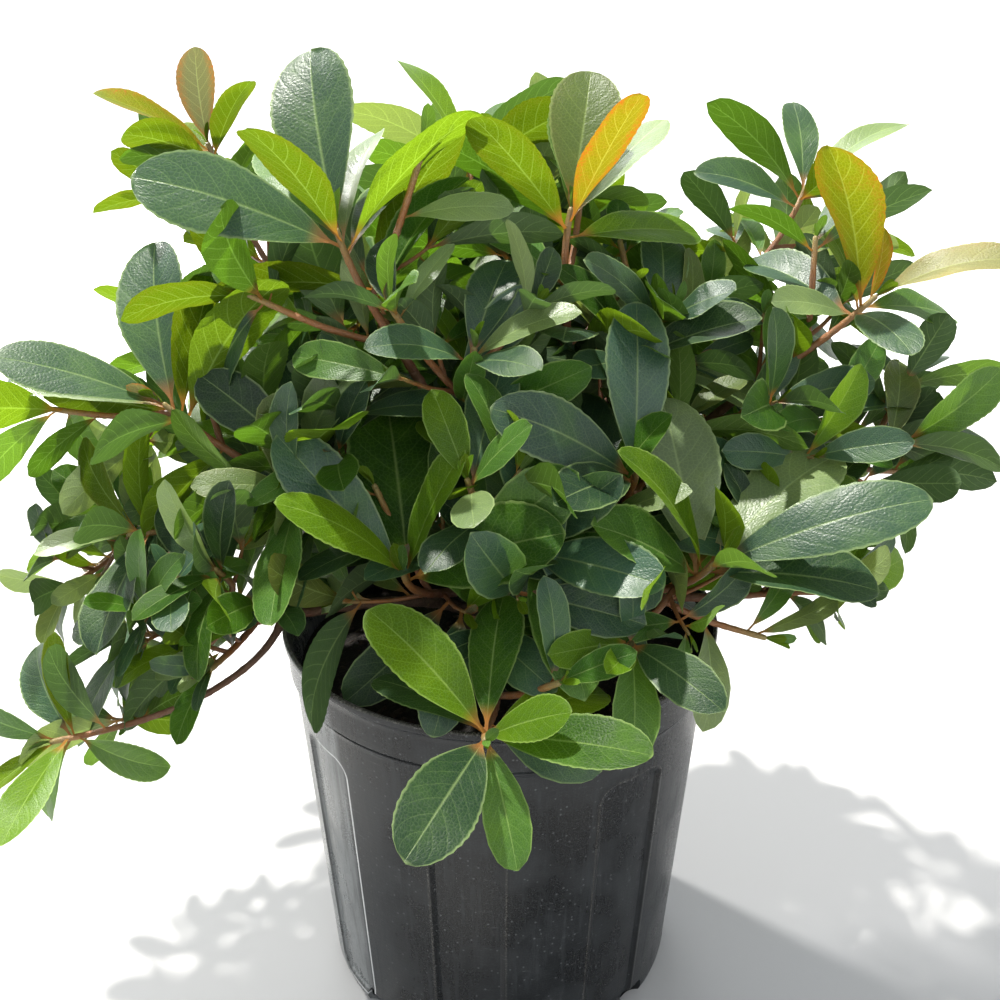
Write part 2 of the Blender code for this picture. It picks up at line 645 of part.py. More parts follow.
# A leaf from the line between root and tip: it leaves steeper by half of its droop. The more a leaf of
# a rosette opens, the lower it sits. Its upper face looks along the shoot, to the sky and outward, and
# a leaf that stands out lies broadside to the front.
def make_leaf(shoot, axis, chord, length, rng, place, at=None):
    up = Vector((0, 0, 1))
    bend = LEAF_DROOP * rng.uniform(0.5, 1.3)
    if at is None:
        run = ROSETTE_RUN * shoot["length"]
        total = line_length(shoot["line"])
        low = min(1.0, max(0.0, (math.degrees(axis.angle(chord)) - 18) / 75))
        at, _ = along_line(shoot["line"], 1 - (run * low + 1.0 * MM) / total)
    facing = (axis - chord * axis.dot(chord)).normalized()
    out = Vector((at.x, at.y, 0)).normalized()
    aim = FRONT * (0.9 if facing.dot(FRONT) > 0 else -0.9) if place == "star" else out * 0.4
    facing = facing + up * 0.35 + aim
    facing = (facing - chord * facing.dot(chord)).normalized()
    way = (chord + facing * (bend / 2)).normalized()
    facing = (facing - way * facing.dot(way)).normalized()
    return {"mass": shoot["mass"], "base": at, "way": way, "up": facing, "length": length,
            "width": LEAF_WIDTH * rng.uniform(0.92, 1.1), "bend": bend, "place": place}


# Small turns tried in order until a leaf clears everything: raise, swing and size
STAR_TRIES = [(0, 0, 1.0), (5, 0, 1.0), (-5, 0, 1.0), (0, 6, 1.0), (0, -6, 1.0), (8, 6, 1.0), (8, -6, 1.0),
              (-8, 6, 1.0), (-8, -6, 1.0), (0, 12, 1.0), (0, -12, 1.0), (12, 10, 1.0), (12, -10, 1.0),
              (-12, 10, 0.95), (-12, -10, 0.95), (0, 16, 0.9), (0, -16, 0.9), (0, 0, 0.8)]
TRIES = [(0, 0, 1.0), (8, 0, 1.0), (-8, 0, 1.0), (0, 12, 1.0), (0, -12, 1.0), (14, 8, 0.92),
         (-14, -8, 0.92), (10, -16, 0.85), (-10, 16, 0.85), (0, 0, 0.75), (18, 0, 0.7)]


def tilted(leaf, rise, swing, size):
    across = leaf["up"].cross(leaf["way"])
    a = math.radians(rise)
    b = math.radians(swing)
    way = leaf["way"] * math.cos(a) + leaf["up"] * math.sin(a)
    way = (way * math.cos(b) + across * math.sin(b)).normalized()
    facing = (leaf["up"] - way * leaf["up"].dot(way)).normalized()
    other = dict(leaf)
    other["way"] = way
    other["up"] = facing
    other["length"] = leaf["length"] * size
    return other


def place_leaves(shoots, limbs, hearts):
    rng = random.Random(41)
    placed = []
    trees = []
    wanted = [leaf for shoot in shoots for leaf in shoot_leaves(shoot, rng)]
    for place in ("star", "ring", "lower"):
        for leaf in [item for item in wanted if item["place"] == place]:
            for rise, swing, size in (STAR_TRIES if leaf["place"] == "star" else TRIES):
                trial = tilted(leaf, rise, swing, size)
                if fits(trial, hearts[trial["mass"]], trees):
                    verts, faces = leaf_solid(trial)
                    blade, _ = leaf_solid(trial, 0.0, BLADE_SHARE)
                    centre = trial["base"] + trial["way"] * trial["length"] * 0.5
                    trees.append((trial["mass"], tree_of(verts, faces), tree_of(blade, faces), centre,
                                  trial["length"] * 0.62))
                    placed.append(trial)
                    break
    return placed


def fits(leaf, heart, trees):
    tip = leaf["base"] + leaf["way"] * leaf["length"]
    if (tip - heart).length > SPACE_RADIUS or tip.z < LOWEST_LEAF:
        return False
    verts, faces = leaf_solid(leaf, CLEARANCE)
    blade, _ = leaf_solid(leaf, CLEARANCE, BLADE_SHARE)
    mass = leaf["mass"]
    if touches(verts, faces, {"twig of " + mass}):
        return False
    if touches(blade, faces, {owner for owner, _, _, _ in OBSTACLES if owner != "twig of " + mass}):
        return False
    centre = leaf["base"] + leaf["way"] * leaf["length"] * 0.5
    reach = leaf["length"] * 0.62
    whole = None
    part = None
    for owner, full, outer, middle, radius in trees:
        if (middle - centre).length > radius + reach:
            continue
        if owner == mass:
            if part is None:
                part = tree_of(blade, faces)
            if part.overlap(outer):
                return False
        else:
            if whole is None:
                whole = tree_of(verts, faces)
            if whole.overlap(full):
                return False
    return True


def make_masses(limbs, shoots, leaves):
    for name, limb in limbs.items():
        if name == "trunk":
            continue
        bodies = [s for s in shoots if s["mass"] == name]
        verts, faces = tube(bodies[0]["line"], bodies[0]["radii"], TWIG_SIDES, bodies[0]["entry_way"])
        mass = make_object("mass_" + name, verts, faces, limb["kind"])
        parts = bpy.data.collections.new("parts_of_" + name)
        bpy.context.scene.collection.children.link(parts)
        for i, shoot in enumerate(bodies[1:]):
            verts, faces = tube(shoot["line"], shoot["radii"], TWIG_SIDES)
            piece = make_object("twig_%s_%d" % (name, i), verts, faces, limb["kind"])
            bpy.context.scene.collection.objects.unlink(piece)
            parts.objects.link(piece)
        for i, leaf in enumerate([item for item in leaves if item["mass"] == name]):
            verts, faces = leaf_solid(leaf)
            piece = make_object("leaf_%s_%d" % (name, i), verts, faces, limb["kind"])
            bpy.context.scene.collection.objects.unlink(piece)
            parts.objects.link(piece)
        join_or_cut(mass, parts, "UNION", "MANIFOLD")


def make_limbs(limbs):
    trunk = limbs["trunk"]
    line = trunk["line"]
    radii = [trunk_radius(i / 6) for i in range(7)]
    verts, faces = tube(line, radii, TRUNK_SIDES, Vector((0, 0, 1)))
    make_object("trunk", verts, faces, "bark")
    add_obstacle("trunk", verts, faces)
    for name, limb in limbs.items():
        if name == "trunk":
            continue
        points = cut_line(limb["line"], 0.0, limb["entry"], BOUGH_SPANS)
        radii = [radius_at(limb, limb["entry"] * i / BOUGH_SPANS) for i in range(BOUGH_SPANS + 1)]
        entry_way = along_line(limb["line"], limb["entry"])[1]
        verts, faces = tube(points, radii, BOUGH_SIDES, limb["square"], entry_way)
        make_object("bough_" + name, verts, faces, "bark")
        add_obstacle("bough_" + name, verts, faces)


def main():
    pot = make_pot()
    soil = make_soil()
    for obj in (pot, soil):
        add_obstacle(obj.name, [v.co.copy() for v in obj.data.vertices],
                     [tuple(p.vertices) for p in obj.data.polygons])
    limbs = grow_limbs()
    make_limbs(limbs)
    shoots = grow_twigs(limbs)
    hearts = {name: along_line(limb["line"], 0.5 * (1 + limb["entry"]))[0]
              for name, limb in limbs.items() if name != "trunk"}
    leaves = place_leaves(shoots, limbs, hearts)
    make_masses(limbs, shoots, leaves)
    print("limbs", len(limbs), "shoots", len(shoots), "leaves", len(leaves))


main()
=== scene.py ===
# %% [markdown]
# Indian hawthorn in its nursery pot.
# The plant is a low, bushy evergreen: red-brown stems fork again and again, and each ends in a whorl of
# blunt leathery leaves. It stands in a ribless round pot of charcoal plastic with eight shallow panels.
# The solid parts of the plant and pot are loaded first and never moved. Everything made below takes its
# place and size from them: a finer pot, crumbly soil, stems with bark, and leaves with teeth and veins.

# %% Load the solid parts
import json
import math
import random

import bpy
import numpy as np
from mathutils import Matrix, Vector, noise
from mathutils.bvhtree import BVHTree

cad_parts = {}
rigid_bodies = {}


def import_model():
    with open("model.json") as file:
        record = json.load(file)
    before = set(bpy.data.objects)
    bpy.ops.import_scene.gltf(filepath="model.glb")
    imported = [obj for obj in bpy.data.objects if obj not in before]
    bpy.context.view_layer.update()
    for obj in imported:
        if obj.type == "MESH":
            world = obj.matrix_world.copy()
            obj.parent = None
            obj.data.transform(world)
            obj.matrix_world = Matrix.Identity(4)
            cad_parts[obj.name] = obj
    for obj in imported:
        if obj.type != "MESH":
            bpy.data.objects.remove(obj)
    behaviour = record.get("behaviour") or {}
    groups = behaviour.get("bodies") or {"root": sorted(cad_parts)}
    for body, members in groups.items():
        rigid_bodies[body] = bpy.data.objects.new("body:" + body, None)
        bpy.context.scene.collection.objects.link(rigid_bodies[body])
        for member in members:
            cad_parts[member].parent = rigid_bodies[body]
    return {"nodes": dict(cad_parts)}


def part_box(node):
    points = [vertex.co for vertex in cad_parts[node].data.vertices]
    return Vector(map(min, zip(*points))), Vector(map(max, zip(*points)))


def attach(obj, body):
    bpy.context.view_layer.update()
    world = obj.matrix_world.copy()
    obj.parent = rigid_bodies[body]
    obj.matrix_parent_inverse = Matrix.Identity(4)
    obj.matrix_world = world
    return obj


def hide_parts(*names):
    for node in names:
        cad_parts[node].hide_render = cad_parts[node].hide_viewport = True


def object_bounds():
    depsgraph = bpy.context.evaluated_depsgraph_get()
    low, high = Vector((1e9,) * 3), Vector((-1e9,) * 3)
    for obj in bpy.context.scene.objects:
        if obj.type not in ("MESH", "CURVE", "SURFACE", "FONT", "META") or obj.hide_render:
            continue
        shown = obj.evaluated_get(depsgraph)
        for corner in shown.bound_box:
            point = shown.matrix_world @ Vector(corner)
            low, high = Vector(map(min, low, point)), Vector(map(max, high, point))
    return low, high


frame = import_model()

MM = 0.001
CM = 0.01
CAD_LOW, CAD_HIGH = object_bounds()
POT_LOW, POT_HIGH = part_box("pot")
POT_HEIGHT = POT_HIGH.z
RIM_RADIUS = 0.5 * (POT_HIGH.x - POT_LOW.x)
print("solid parts:", len(frame["nodes"]))
print("pot", round(POT_HEIGHT, 4), "high, rim radius", round(RIM_RADIUS, 4))

# %% [markdown]
# The camera stands in front of the plant, a little above it, and looks down by 23.5 degrees, so that the
# rim of the pot shows as an ellipse and the foot of the pot leaves the frame.
# A camera is turned up from looking straight down, so its X angle is 90 degrees less the pitch.

# %% Place the camera
PITCH = math.radians(23.5)
CAMERA_PLACE = (0.0, -0.4941, 0.4989)
LENS = 37.8
SENSOR = 36.0

bpy.ops.object.select_all(action="DESELECT")
bpy.ops.object.camera_add(location=CAMERA_PLACE, rotation=(math.pi / 2 - PITCH, 0.0, 0.0))
camera = bpy.context.object
camera.name = "camera"
camera.data.lens = LENS
camera.data.sensor_width = SENSOR
bpy.context.scene.camera = camera
print("camera at", tuple(camera.location))

# %% [markdown]
# The stage is a pale round floor whose edge curves up into a low wall, so that no horizon line shows.
# An open circle is extruded and widened step by step along a quarter round, and then its middle is filled.

# %% Make the floor
FLOOR_RADIUS = 3.4
SWEEP_RADIUS = 1.2
SWEEP_STEPS = 8


def open_edit(kind="VERT"):
    bpy.ops.object.mode_set(mode="EDIT")
    bpy.ops.mesh.select_mode(type=kind)


def close_edit():
    bpy.ops.object.mode_set(mode="OBJECT")


bpy.ops.object.select_all(action="DESELECT")
bpy.ops.mesh.primitive_circle_add(vertices=96, radius=FLOOR_RADIUS, fill_type="NOTHING")
floor = bpy.context.object
floor.name = "floor"
open_edit("VERT")
bpy.ops.mesh.select_all(action="SELECT")
radius = FLOOR_RADIUS
height = 0.0
for step in range(1, SWEEP_STEPS + 1):
    turn = 0.5 * math.pi * step / SWEEP_STEPS
    new_radius = FLOOR_RADIUS + SWEEP_RADIUS * math.sin(turn)
    new_height = SWEEP_RADIUS * (1 - math.cos(turn))
    bpy.ops.mesh.extrude_region_move(TRANSFORM_OT_translate={"value": (0, 0, new_height - height)})
    share = new_radius / radius
    bpy.ops.transform.resize(value=(share, share, 1), center_override=(0, 0, new_height))
    radius = new_radius
    height = new_height
bpy.ops.mesh.select_all(action="DESELECT")
close_edit()
for vert in floor.data.vertices:
    vert.select = math.hypot(vert.co.x, vert.co.y) < FLOOR_RADIUS + 1 * MM
open_edit("VERT")
bpy.ops.mesh.edge_face_add()
bpy.ops.mesh.select_all(action="SELECT")
bpy.ops.mesh.normals_make_consistent(inside=True)
close_edit()
bpy.ops.object.shade_smooth()
print("floor:", len(floor.data.polygons), "faces")

# %% [markdown]
# Light: the plant is lit from high behind its left shoulder, so that upright leaves glow as the light
# passes through them, and a broad soft light in front keeps the shaded side readable.
# Area lights give the soft edges of a studio. Each is turned to look at the middle of the plant.

# %% Set the lights
LIGHT_TARGET = Vector((0.0, 0.0, 0.28))
LIGHTS = [
    ("key_light", (-0.85, 0.76, 3.80), 0.14, 310.0, (1.0, 0.965, 0.90)),
    ("back_light", (-0.5, 3.0, 2.2), 2.0, 45.0, (0.95, 0.975, 1.0)),
    ("left_light", (-1.93, 1.74, 1.75), 0.25, 105.0, (1.0, 0.98, 0.95)),
    ("front_light", (0.9, -2.6, 2.1), 1.8, 18.0, (0.93, 0.97, 1.0)),
]
for name, place, width, power, colour in LIGHTS:
    way = LIGHT_TARGET - Vector(place)
    bpy.ops.object.light_add(type="AREA", location=place, rotation=way.to_track_quat("-Z", "Y").to_euler())
    lamp = bpy.context.object
    lamp.name = name
    lamp.data.shape = "DISK"
    lamp.data.size = width
    lamp.data.energy = power
    lamp.data.color = colour

world = bpy.data.worlds.new("studio")
world.use_nodes = True
world.node_tree.nodes["Background"].inputs["Color"].default_value = (0.93, 0.965, 1.0, 1.0)
world.node_tree.nodes["Background"].inputs["Strength"].default_value = 0.70
bpy.context.scene.world = world
bpy.context.scene.view_settings.view_transform = "Standard"
bpy.context.scene.view_settings.exposure = 0.30
bpy.context.scene.cycles.max_bounces = 8
bpy.context.scene.cycles.diffuse_bounces = 3
bpy.context.scene.cycles.glossy_bounces = 3
print("lights:", len(LIGHTS))

# %% [markdown]
# Materials are small networks of nodes. A short helper adds a node, sets its values and joins its inputs,
# so that each network reads from top to bottom.


# %% Helpers for materials
class Signal:
    """A value on its way through a node network. Sums and products of signals become Math nodes."""

    def __init__(self, tree, socket):
        self.tree = tree
        self.socket = socket

    def maths(self, operation, other=0.0, swapped=False):
        inputs = {1: self, 0: other} if swapped else {0: self, 1: other}
        return Signal(self.tree, add(self.tree, "ShaderNodeMath", inputs, operation=operation).outputs[0])

    def __add__(self, other):
        return self.maths("ADD", other)

    def __sub__(self, other):
        return self.maths("SUBTRACT", other)

    def __rsub__(self, other):
        return self.maths("SUBTRACT", other, True)

    def __mul__(self, other):
        return self.maths("MULTIPLY", other)

    def __truediv__(self, other):
        return self.maths("DIVIDE", other)

    def __abs__(self):
        return self.maths("ABSOLUTE")

    def clamped(self):
        """The same value, kept between 0 and 1."""
        self.socket.node.use_clamp = True
        return self


def add(tree, kind, inputs=None, **settings):
    """A new node with its settings. Each input gets a number, or a link where it is given a signal."""
    node = tree.nodes.new(kind)
    for key, value in settings.items():
        setattr(node, key, value)
    for key, value in (inputs or {}).items():
        if isinstance(value, Signal):
            tree.links.new(value.socket, node.inputs[key])
        else:
            node.inputs[key].default_value = value
    return node


def signal(tree, kind, output, inputs=None, **settings):
    return Signal(tree, add(tree, kind, inputs, **settings).outputs[output])


def smooth(value, low, high, to_low=0.0, to_high=1.0):
    """Soft step from one number to another while the value goes from low to high."""
    inputs = {"Value": value, "From Min": low, "From Max": high, "To Min": to_low, "To Max": to_high}
    return signal(value.tree, "ShaderNodeMapRange", "Result", inputs, interpolation_type="SMOOTHSTEP")


def blend(share, a, b, way="MIX"):
    """Colour a covered by colour b. A plain colour is given as red, green and blue."""
    tree = next(item.tree for item in (share, a, b) if isinstance(item, Signal))
    inputs = {0: share}
    for key, colour in ((6, a), (7, b)):
        inputs[key] = colour if isinstance(colour, Signal) else (*colour, 1.0)
    return signal(tree, "ShaderNodeMix", 2, inputs, data_type="RGBA", blend_type=way)


def cover(colour, *layers):
    """Colour under layers of mask, strength and colour, the lowest layer first."""
    for mask, strength, tint in layers:
        colour = blend(mask * strength, colour, tint)
    return colour


def object_place(tree, squeeze=None):
    """Place on the object in metres, squeezed along each axis where a squeeze is given."""
    place = signal(tree, "ShaderNodeTexCoord", "Object")
    if squeeze is None:
        return place
    return signal(tree, "ShaderNodeMapping", "Vector", {"Vector": place, "Scale": squeeze})


def parts(vector):
    split = add(vector.tree, "ShaderNodeSeparateXYZ", {"Vector": vector})
    return [Signal(vector.tree, output) for output in split.outputs]


def clouds(place, scale, detail, roughness):
    return signal(place.tree, "ShaderNodeTexNoise", "Fac",
                  {"Vector": place, "Scale": scale, "Detail": detail, "Roughness": roughness})


def cells(place, scale, **settings):
    inputs = {"Vector": place, "Scale": scale}
    return signal(place.tree, "ShaderNodeTexVoronoi", "Distance", inputs, **settings)


def raise_relief(shader, height, strength, depth):
    """Bump on the shader. The normal is given back for a second shader."""
    normal = signal(height.tree, "ShaderNodeBump", "Normal",
                    {"Height": height, "Strength": strength, "Distance": depth})
    height.tree.links.new(normal.socket, shader.inputs["Normal"])
    return normal


def new_material(name):
    mat = bpy.data.materials.new(name)
    mat.use_nodes = True
    return mat, mat.node_tree, mat.node_tree.nodes["Principled BSDF"]


def finish_shader(shader, colour, roughness):
    tree = colour.tree
    tree.links.new(colour.socket, shader.inputs["Base Color"])
    if isinstance(roughness, Signal):
        tree.links.new(roughness.socket, shader.inputs["Roughness"])
    else:
        shader.inputs["Roughness"].default_value = roughness


def new_group(name, inputs, outputs):
    """An empty node group, with a signal for each of its inputs."""
    group = bpy.data.node_groups.new(name, "ShaderNodeTree")
    for label, value in inputs.items():
        socket = group.interface.new_socket(label, in_out="INPUT", socket_type="NodeSocketFloat")
        socket.default_value = value
    for label in outputs:
        group.interface.new_socket(label, in_out="OUTPUT", socket_type="NodeSocketFloat")
    given = group.nodes.new("NodeGroupInput")
    return group, {label: Signal(group, given.outputs[label]) for label in inputs}


def close_group(group, values):
    result = group.nodes.new("NodeGroupOutput")
    for label, value in values.items():
        group.links.new(value.socket, result.inputs[label])
    return group


print("helpers ready")

# %% [markdown]
# Dust lies on every outdoor surface: blotches a few centimetres wide broken up by fine grains. Pot, soil
# and leaves all use it, so it is a node group that gives a mask.


# %% Dust group
def dust_group():
    group, given = new_group("dust", {"Blotch Scale": 30.0, "Grain Scale": 900.0}, ["Blotch", "Grain"])
    place = object_place(group)
    blotch = clouds(place, given["Blotch Scale"], 3.0, 0.62)
    grain = clouds(place, given["Grain Scale"], 1.0, 0.7)
    return close_group(group, {"Blotch": smooth(blotch, 0.42, 0.72), "Grain": smooth(grain, 0.46, 0.74)})


DUST = dust_group()


def dust(tree, blotch_scale, grain_scale):
    """Two masks of dust: the blotches and the grains."""
    node = add(tree, "ShaderNodeGroup", {"Blotch Scale": blotch_scale, "Grain Scale": grain_scale},
               node_tree=DUST)
    return [Signal(tree, output) for output in node.outputs]


print("dust group:", len(DUST.nodes), "nodes")

# %% [markdown]
# The plastic of the pot is charcoal, satin where hands have rubbed it and chalky with dust elsewhere.
# Water has drawn the dust into upright streaks, so one noise is stretched along the height by a Mapping
# node. Fine scratches run round the wall, and the edges of the panels and the top of the rim are worn pale.
# The left side is painted pale as if sunlit, with a painted highlight on the lit panel edge, and a dark line
# inside each panel's edge is painted shade. A second group gives the distance from a panel's edge.


# %% Pot material
PANEL_COUNT = 8
PANEL_PITCH = 2 * math.pi / PANEL_COUNT
PANEL_TURN = math.radians(-98.75)
PANEL_HALF_ANGLE = math.radians(10.0)
PANEL_REACH = 104 * MM
PANEL_TOP = 178 * MM
PANEL_FOOT = 14 * MM
PANEL_MIDDLE = 0.5 * (PANEL_TOP + PANEL_FOOT)
PANEL_HALF_WIDTH = PANEL_HALF_ANGLE * PANEL_REACH
PANEL_HALF_HEIGHT = 0.5 * (PANEL_TOP - PANEL_FOOT)
PANEL_CORNER = 9 * MM
# Painted light: turns from the left between which the wall is drawn pale as if sunlit, with a soft start
SUNLIT_SIDE_START = math.radians(-44)
SUNLIT_SIDE_SOFT = math.radians(1.5)
SUNLIT_SIDE_END = math.radians(60)
# Turns between which the panel's raised edge catches the light: start, full, fade and end
LIT_EDGE = [SUNLIT_SIDE_START + math.radians(turn) for turn in (-8, -4, 6, 16)]


def panel_edge_group():
    """Distance in metres from the edge of the nearest panel, below 0 inside it."""
    group, _ = new_group("panel_edge", {}, ["Distance"])
    x, y, z = parts(object_place(group))
    turn = (y.maths("ARCTAN2", x) - PANEL_TURN) / PANEL_PITCH
    turn = (turn + (PANEL_COUNT + 0.5)).maths("FRACT") - 0.5
    across = abs(turn) * (PANEL_PITCH * PANEL_REACH) - (PANEL_HALF_WIDTH - PANEL_CORNER)
    along = abs(z - PANEL_MIDDLE) - (PANEL_HALF_HEIGHT - PANEL_CORNER)
    out = signal(group, "ShaderNodeCombineXYZ", "Vector",
                 {"X": across.maths("MAXIMUM"), "Y": along.maths("MAXIMUM")})
    outside = signal(group, "ShaderNodeVectorMath", "Value", {0: out}, operation="LENGTH")
    inside = across.maths("MAXIMUM", along).maths("MINIMUM")
    return close_group(group, {"Distance": outside + inside - PANEL_CORNER})


def pot_material():
    mat, tree, shader = new_material("pot_plastic")
    place = object_place(tree)
    blotch, grain = dust(tree, 22.0, 1100.0)
    streaks = clouds(object_place(tree, (1.0, 1.0, 0.045)), 330.0, 4.0, 0.6)
    scratches = clouds(object_place(tree, (0.35, 0.35, 3.4)), 260.0, 5.0, 0.75)
    speck = smooth(cells(place, 240.0), 0.17, 0.08)
    x, y, height = parts(place)
    from_left = y.maths("ARCTAN2", x * -1.0)
    # Painted light: the left side of the wall, where the sun falls, is drawn pale, broken up by the dust
    # streaks
    painted_sunlit_side = smooth(from_left, SUNLIT_SIDE_START - SUNLIT_SIDE_SOFT, SUNLIT_SIDE_START + SUNLIT_SIDE_SOFT)
    painted_sunlit_side = painted_sunlit_side * smooth(from_left, SUNLIT_SIDE_END, 0.0) * smooth(streaks, 0.30, 0.62, 0.45, 1.0)
    edge = signal(tree, "ShaderNodeGroup", "Distance", node_tree=panel_edge_group())
    ridge = smooth(abs(edge - 0.9 * MM), 0.8 * MM, 0.2 * MM)
    # Painted shade: a dark line just inside each panel's edge, where the pressed step falls in shade
    painted_crease_shade = smooth(abs(edge + 0.6 * MM), 1.0 * MM, 0.2 * MM)
    lit_ridge = ridge * smooth(from_left, *LIT_EDGE[:2]) * smooth(from_left, LIT_EDGE[3], LIT_EDGE[2])
    top_edge = smooth(height, POT_HEIGHT - 1.2 * MM, POT_HEIGHT - 0.3 * MM)
    wear = (ridge * 0.35).maths("MAXIMUM", top_edge)
    scuff = (wear * (grain + 0.25)).clamped()
    dusty = (blotch * 0.34 + smooth(streaks, 0.50, 0.75) * 0.26 + grain * 0.22 + speck * 0.35).clamped()
    colour = cover(blend(dusty, (0.0020, 0.0026, 0.0034), (0.036, 0.041, 0.045)),
                   # painted sunlit side
                   (painted_sunlit_side, 0.62, (0.22, 0.235, 0.24)),
                   (lit_ridge, 0.8, (0.60, 0.62, 0.63)),
                   (speck, 0.5, (0.10, 0.105, 0.11)),
                   # painted shade in the panel crease
                   (painted_crease_shade, 0.6, (0.002, 0.0022, 0.0026)),
                   (smooth(scratches, 0.63, 0.70), 0.5, (0.095, 0.098, 0.10)),
                   (scuff, 0.6, (0.19, 0.18, 0.155)))
    finish_shader(shader, colour, smooth(dusty, 0.0, 0.8, 0.27, 0.58))
    shader.inputs["Specular IOR Level"].default_value = 0.31
    raise_relief(shader, streaks * 0.5 + scratches * 0.5 + ridge * 0.9, 0.35, 0.4 * MM)
    return mat


POT_PLASTIC = pot_material()
print("pot material:", len(POT_PLASTIC.node_tree.nodes), "nodes")

# %% [markdown]
# The floor is a matt pale grey that turns almost white away from the plant, so that it runs into the wall.


# %% Floor material
def floor_material():
    mat, tree, shader = new_material("studio_floor")
    blotch, _ = dust(tree, 2.0, 60.0)
    reach = signal(tree, "ShaderNodeVectorMath", "Value", {0: object_place(tree)}, operation="LENGTH")
    colour = blend(blotch, (0.38, 0.38, 0.38), (0.36, 0.363, 0.367))
    finish_shader(shader, blend(smooth(reach, 0.6, 2.6), colour, (0.86, 0.86, 0.86)), 0.9)
    return mat


floor.data.materials.append(floor_material())
print("floor material ready")

# %% [markdown]
# The pot is a turned shape, so it is drawn as half a section, a chain of points from the middle of the
# foot out, up the wall, round the rim and back down inside, and spun once round the axis.
# A profile point is extruded from the last one, as by hand.

# %% Turn the pot
BAND_HEIGHT = 22 * MM
BAND_RADIUS = RIM_RADIUS - 2.3 * MM
BODY_TOP_RADIUS = RIM_RADIUS - 4.4 * MM
BODY_LOW_RADIUS = 99 * MM
CHAMFER_HEIGHT = 9 * MM
FOOT_RADIUS = 89 * MM
WALL = 2.6 * MM
LIP = 2.4 * MM
FLOOR_TOP = 6 * MM
BAND_FOOT = POT_HEIGHT - BAND_HEIGHT
WALL_ROWS = 84
POT_STEPS = 288


def body_radius(z):
    share = (z - CHAMFER_HEIGHT) / (BAND_FOOT - CHAMFER_HEIGHT)
    return BODY_LOW_RADIUS + (BODY_TOP_RADIUS - BODY_LOW_RADIUS) * share


def arc(centre, size, start, end, steps):
    turns = [math.radians(start + (end - start) * i / steps) for i in range(steps + 1)]
    return [(centre[0] + size * math.cos(t), centre[1] + size * math.sin(t)) for t in turns]


def pot_profile():
    points = [(0.0, 0.0), (FOOT_RADIUS * 0.5, 0.0)]
    points += arc((FOOT_RADIUS - 1.6 * MM, 1.6 * MM), 1.6 * MM, -90, -42, 4)
    points += arc((BODY_LOW_RADIUS - 5.0 * MM, CHAMFER_HEIGHT + 2.2 * MM), 5.0 * MM, -44, -4, 6)
    low = CHAMFER_HEIGHT + 3.0 * MM
    high = BAND_FOOT - 4.0 * MM
    for i in range(WALL_ROWS + 1):
        z = low + (high - low) * i / WALL_ROWS
        points.append((body_radius(z), z))
    points += arc((body_radius(BAND_FOOT) - 0.4 * MM, BAND_FOOT - 2.9 * MM), 0.7 * MM, -50, 70, 4)
    points += arc((body_radius(BAND_FOOT) + 0.3 * MM, BAND_FOOT - 1.3 * MM), 0.9 * MM, 240, 120, 5)
    points += arc((BAND_RADIUS - 1.0 * MM, BAND_FOOT + 0.7 * MM), 1.0 * MM, -70, 0, 4)
    lip_foot = POT_HEIGHT - 5.6 * MM
    for i in range(1, 5):
        share = i / 5
        z = BAND_FOOT + 1.6 * MM + (lip_foot - BAND_FOOT - 1.6 * MM) * share
        points.append((BAND_RADIUS + 0.5 * MM * share, z))
    points += [(BAND_RADIUS + 0.6 * MM, lip_foot), (RIM_RADIUS - 1.1 * MM, lip_foot + 0.9 * MM)]
    points += arc((RIM_RADIUS - 1.1 * MM, POT_HEIGHT - 2.9 * MM), 1.1 * MM, -50, 0, 4)
    points += arc((RIM_RADIUS - 1.1 * MM, POT_HEIGHT - 1.1 * MM), 1.1 * MM, 10, 90, 5)
    inner = RIM_RADIUS - LIP
    points += arc((inner + 0.6 * MM, POT_HEIGHT - 0.6 * MM), 0.6 * MM, 90, 180, 4)
    points += [(BAND_RADIUS - WALL, BAND_FOOT + 3 * MM), (body_radius(BAND_FOOT) - WALL, BAND_FOOT - 2 * MM),
               (body_radius(BAND_FOOT * 0.5) - WALL, BAND_FOOT * 0.5)]
    points += arc((BODY_LOW_RADIUS - WALL - 6 * MM, FLOOR_TOP + 6 * MM), 6 * MM, 0, -90, 6)
    points += [(FOOT_RADIUS * 0.5, FLOOR_TOP), (0.0, FLOOR_TOP)]
    return points


def turned(name, profile, steps):
    """Object made by spinning a chain of (radius, height) points round the upright axis."""
    bpy.ops.object.select_all(action="DESELECT")
    bpy.ops.mesh.primitive_plane_add(size=1 * CM, location=(0, 0, 0))
    obj = bpy.context.object
    obj.name = name
    obj.data.name = name
    open_edit("VERT")
    bpy.ops.mesh.select_all(action="SELECT")
    bpy.ops.mesh.merge(type="CENTER")
    radius, z = profile[0]
    bpy.ops.transform.translate(value=(radius, 0, z))
    for new_radius, new_z in profile[1:]:
        step = (new_radius - radius, 0, new_z - z)
        bpy.ops.mesh.extrude_region_move(TRANSFORM_OT_translate={"value": step})
        radius = new_radius
        z = new_z
    bpy.ops.mesh.select_all(action="SELECT")
    bpy.ops.mesh.spin(steps=steps, angle=2 * math.pi, center=(0, 0, 0), axis=(0, 0, 1))
    bpy.ops.mesh.select_all(action="SELECT")
    bpy.ops.mesh.remove_doubles(threshold=0.02 * MM)
    bpy.ops.mesh.normals_make_consistent(inside=False)
    close_edit()
    return obj


pot = turned("pot_shell", pot_profile(), POT_STEPS)
print("turned pot:", len(pot.data.vertices), "points")

# %% [markdown]
# Eight shallow panels are pressed into the wall. Each is a tall rectangle with round corners, bowed with
# the wall. A weight from 0 to 1 is painted on the points inside each panel, soft over its last
# millimetres, and a Displace modifier moves them in by that weight.

# %% Press the panels
PANEL_DEPTH = 1.8 * MM
PANEL_SOFT = 1.6 * MM


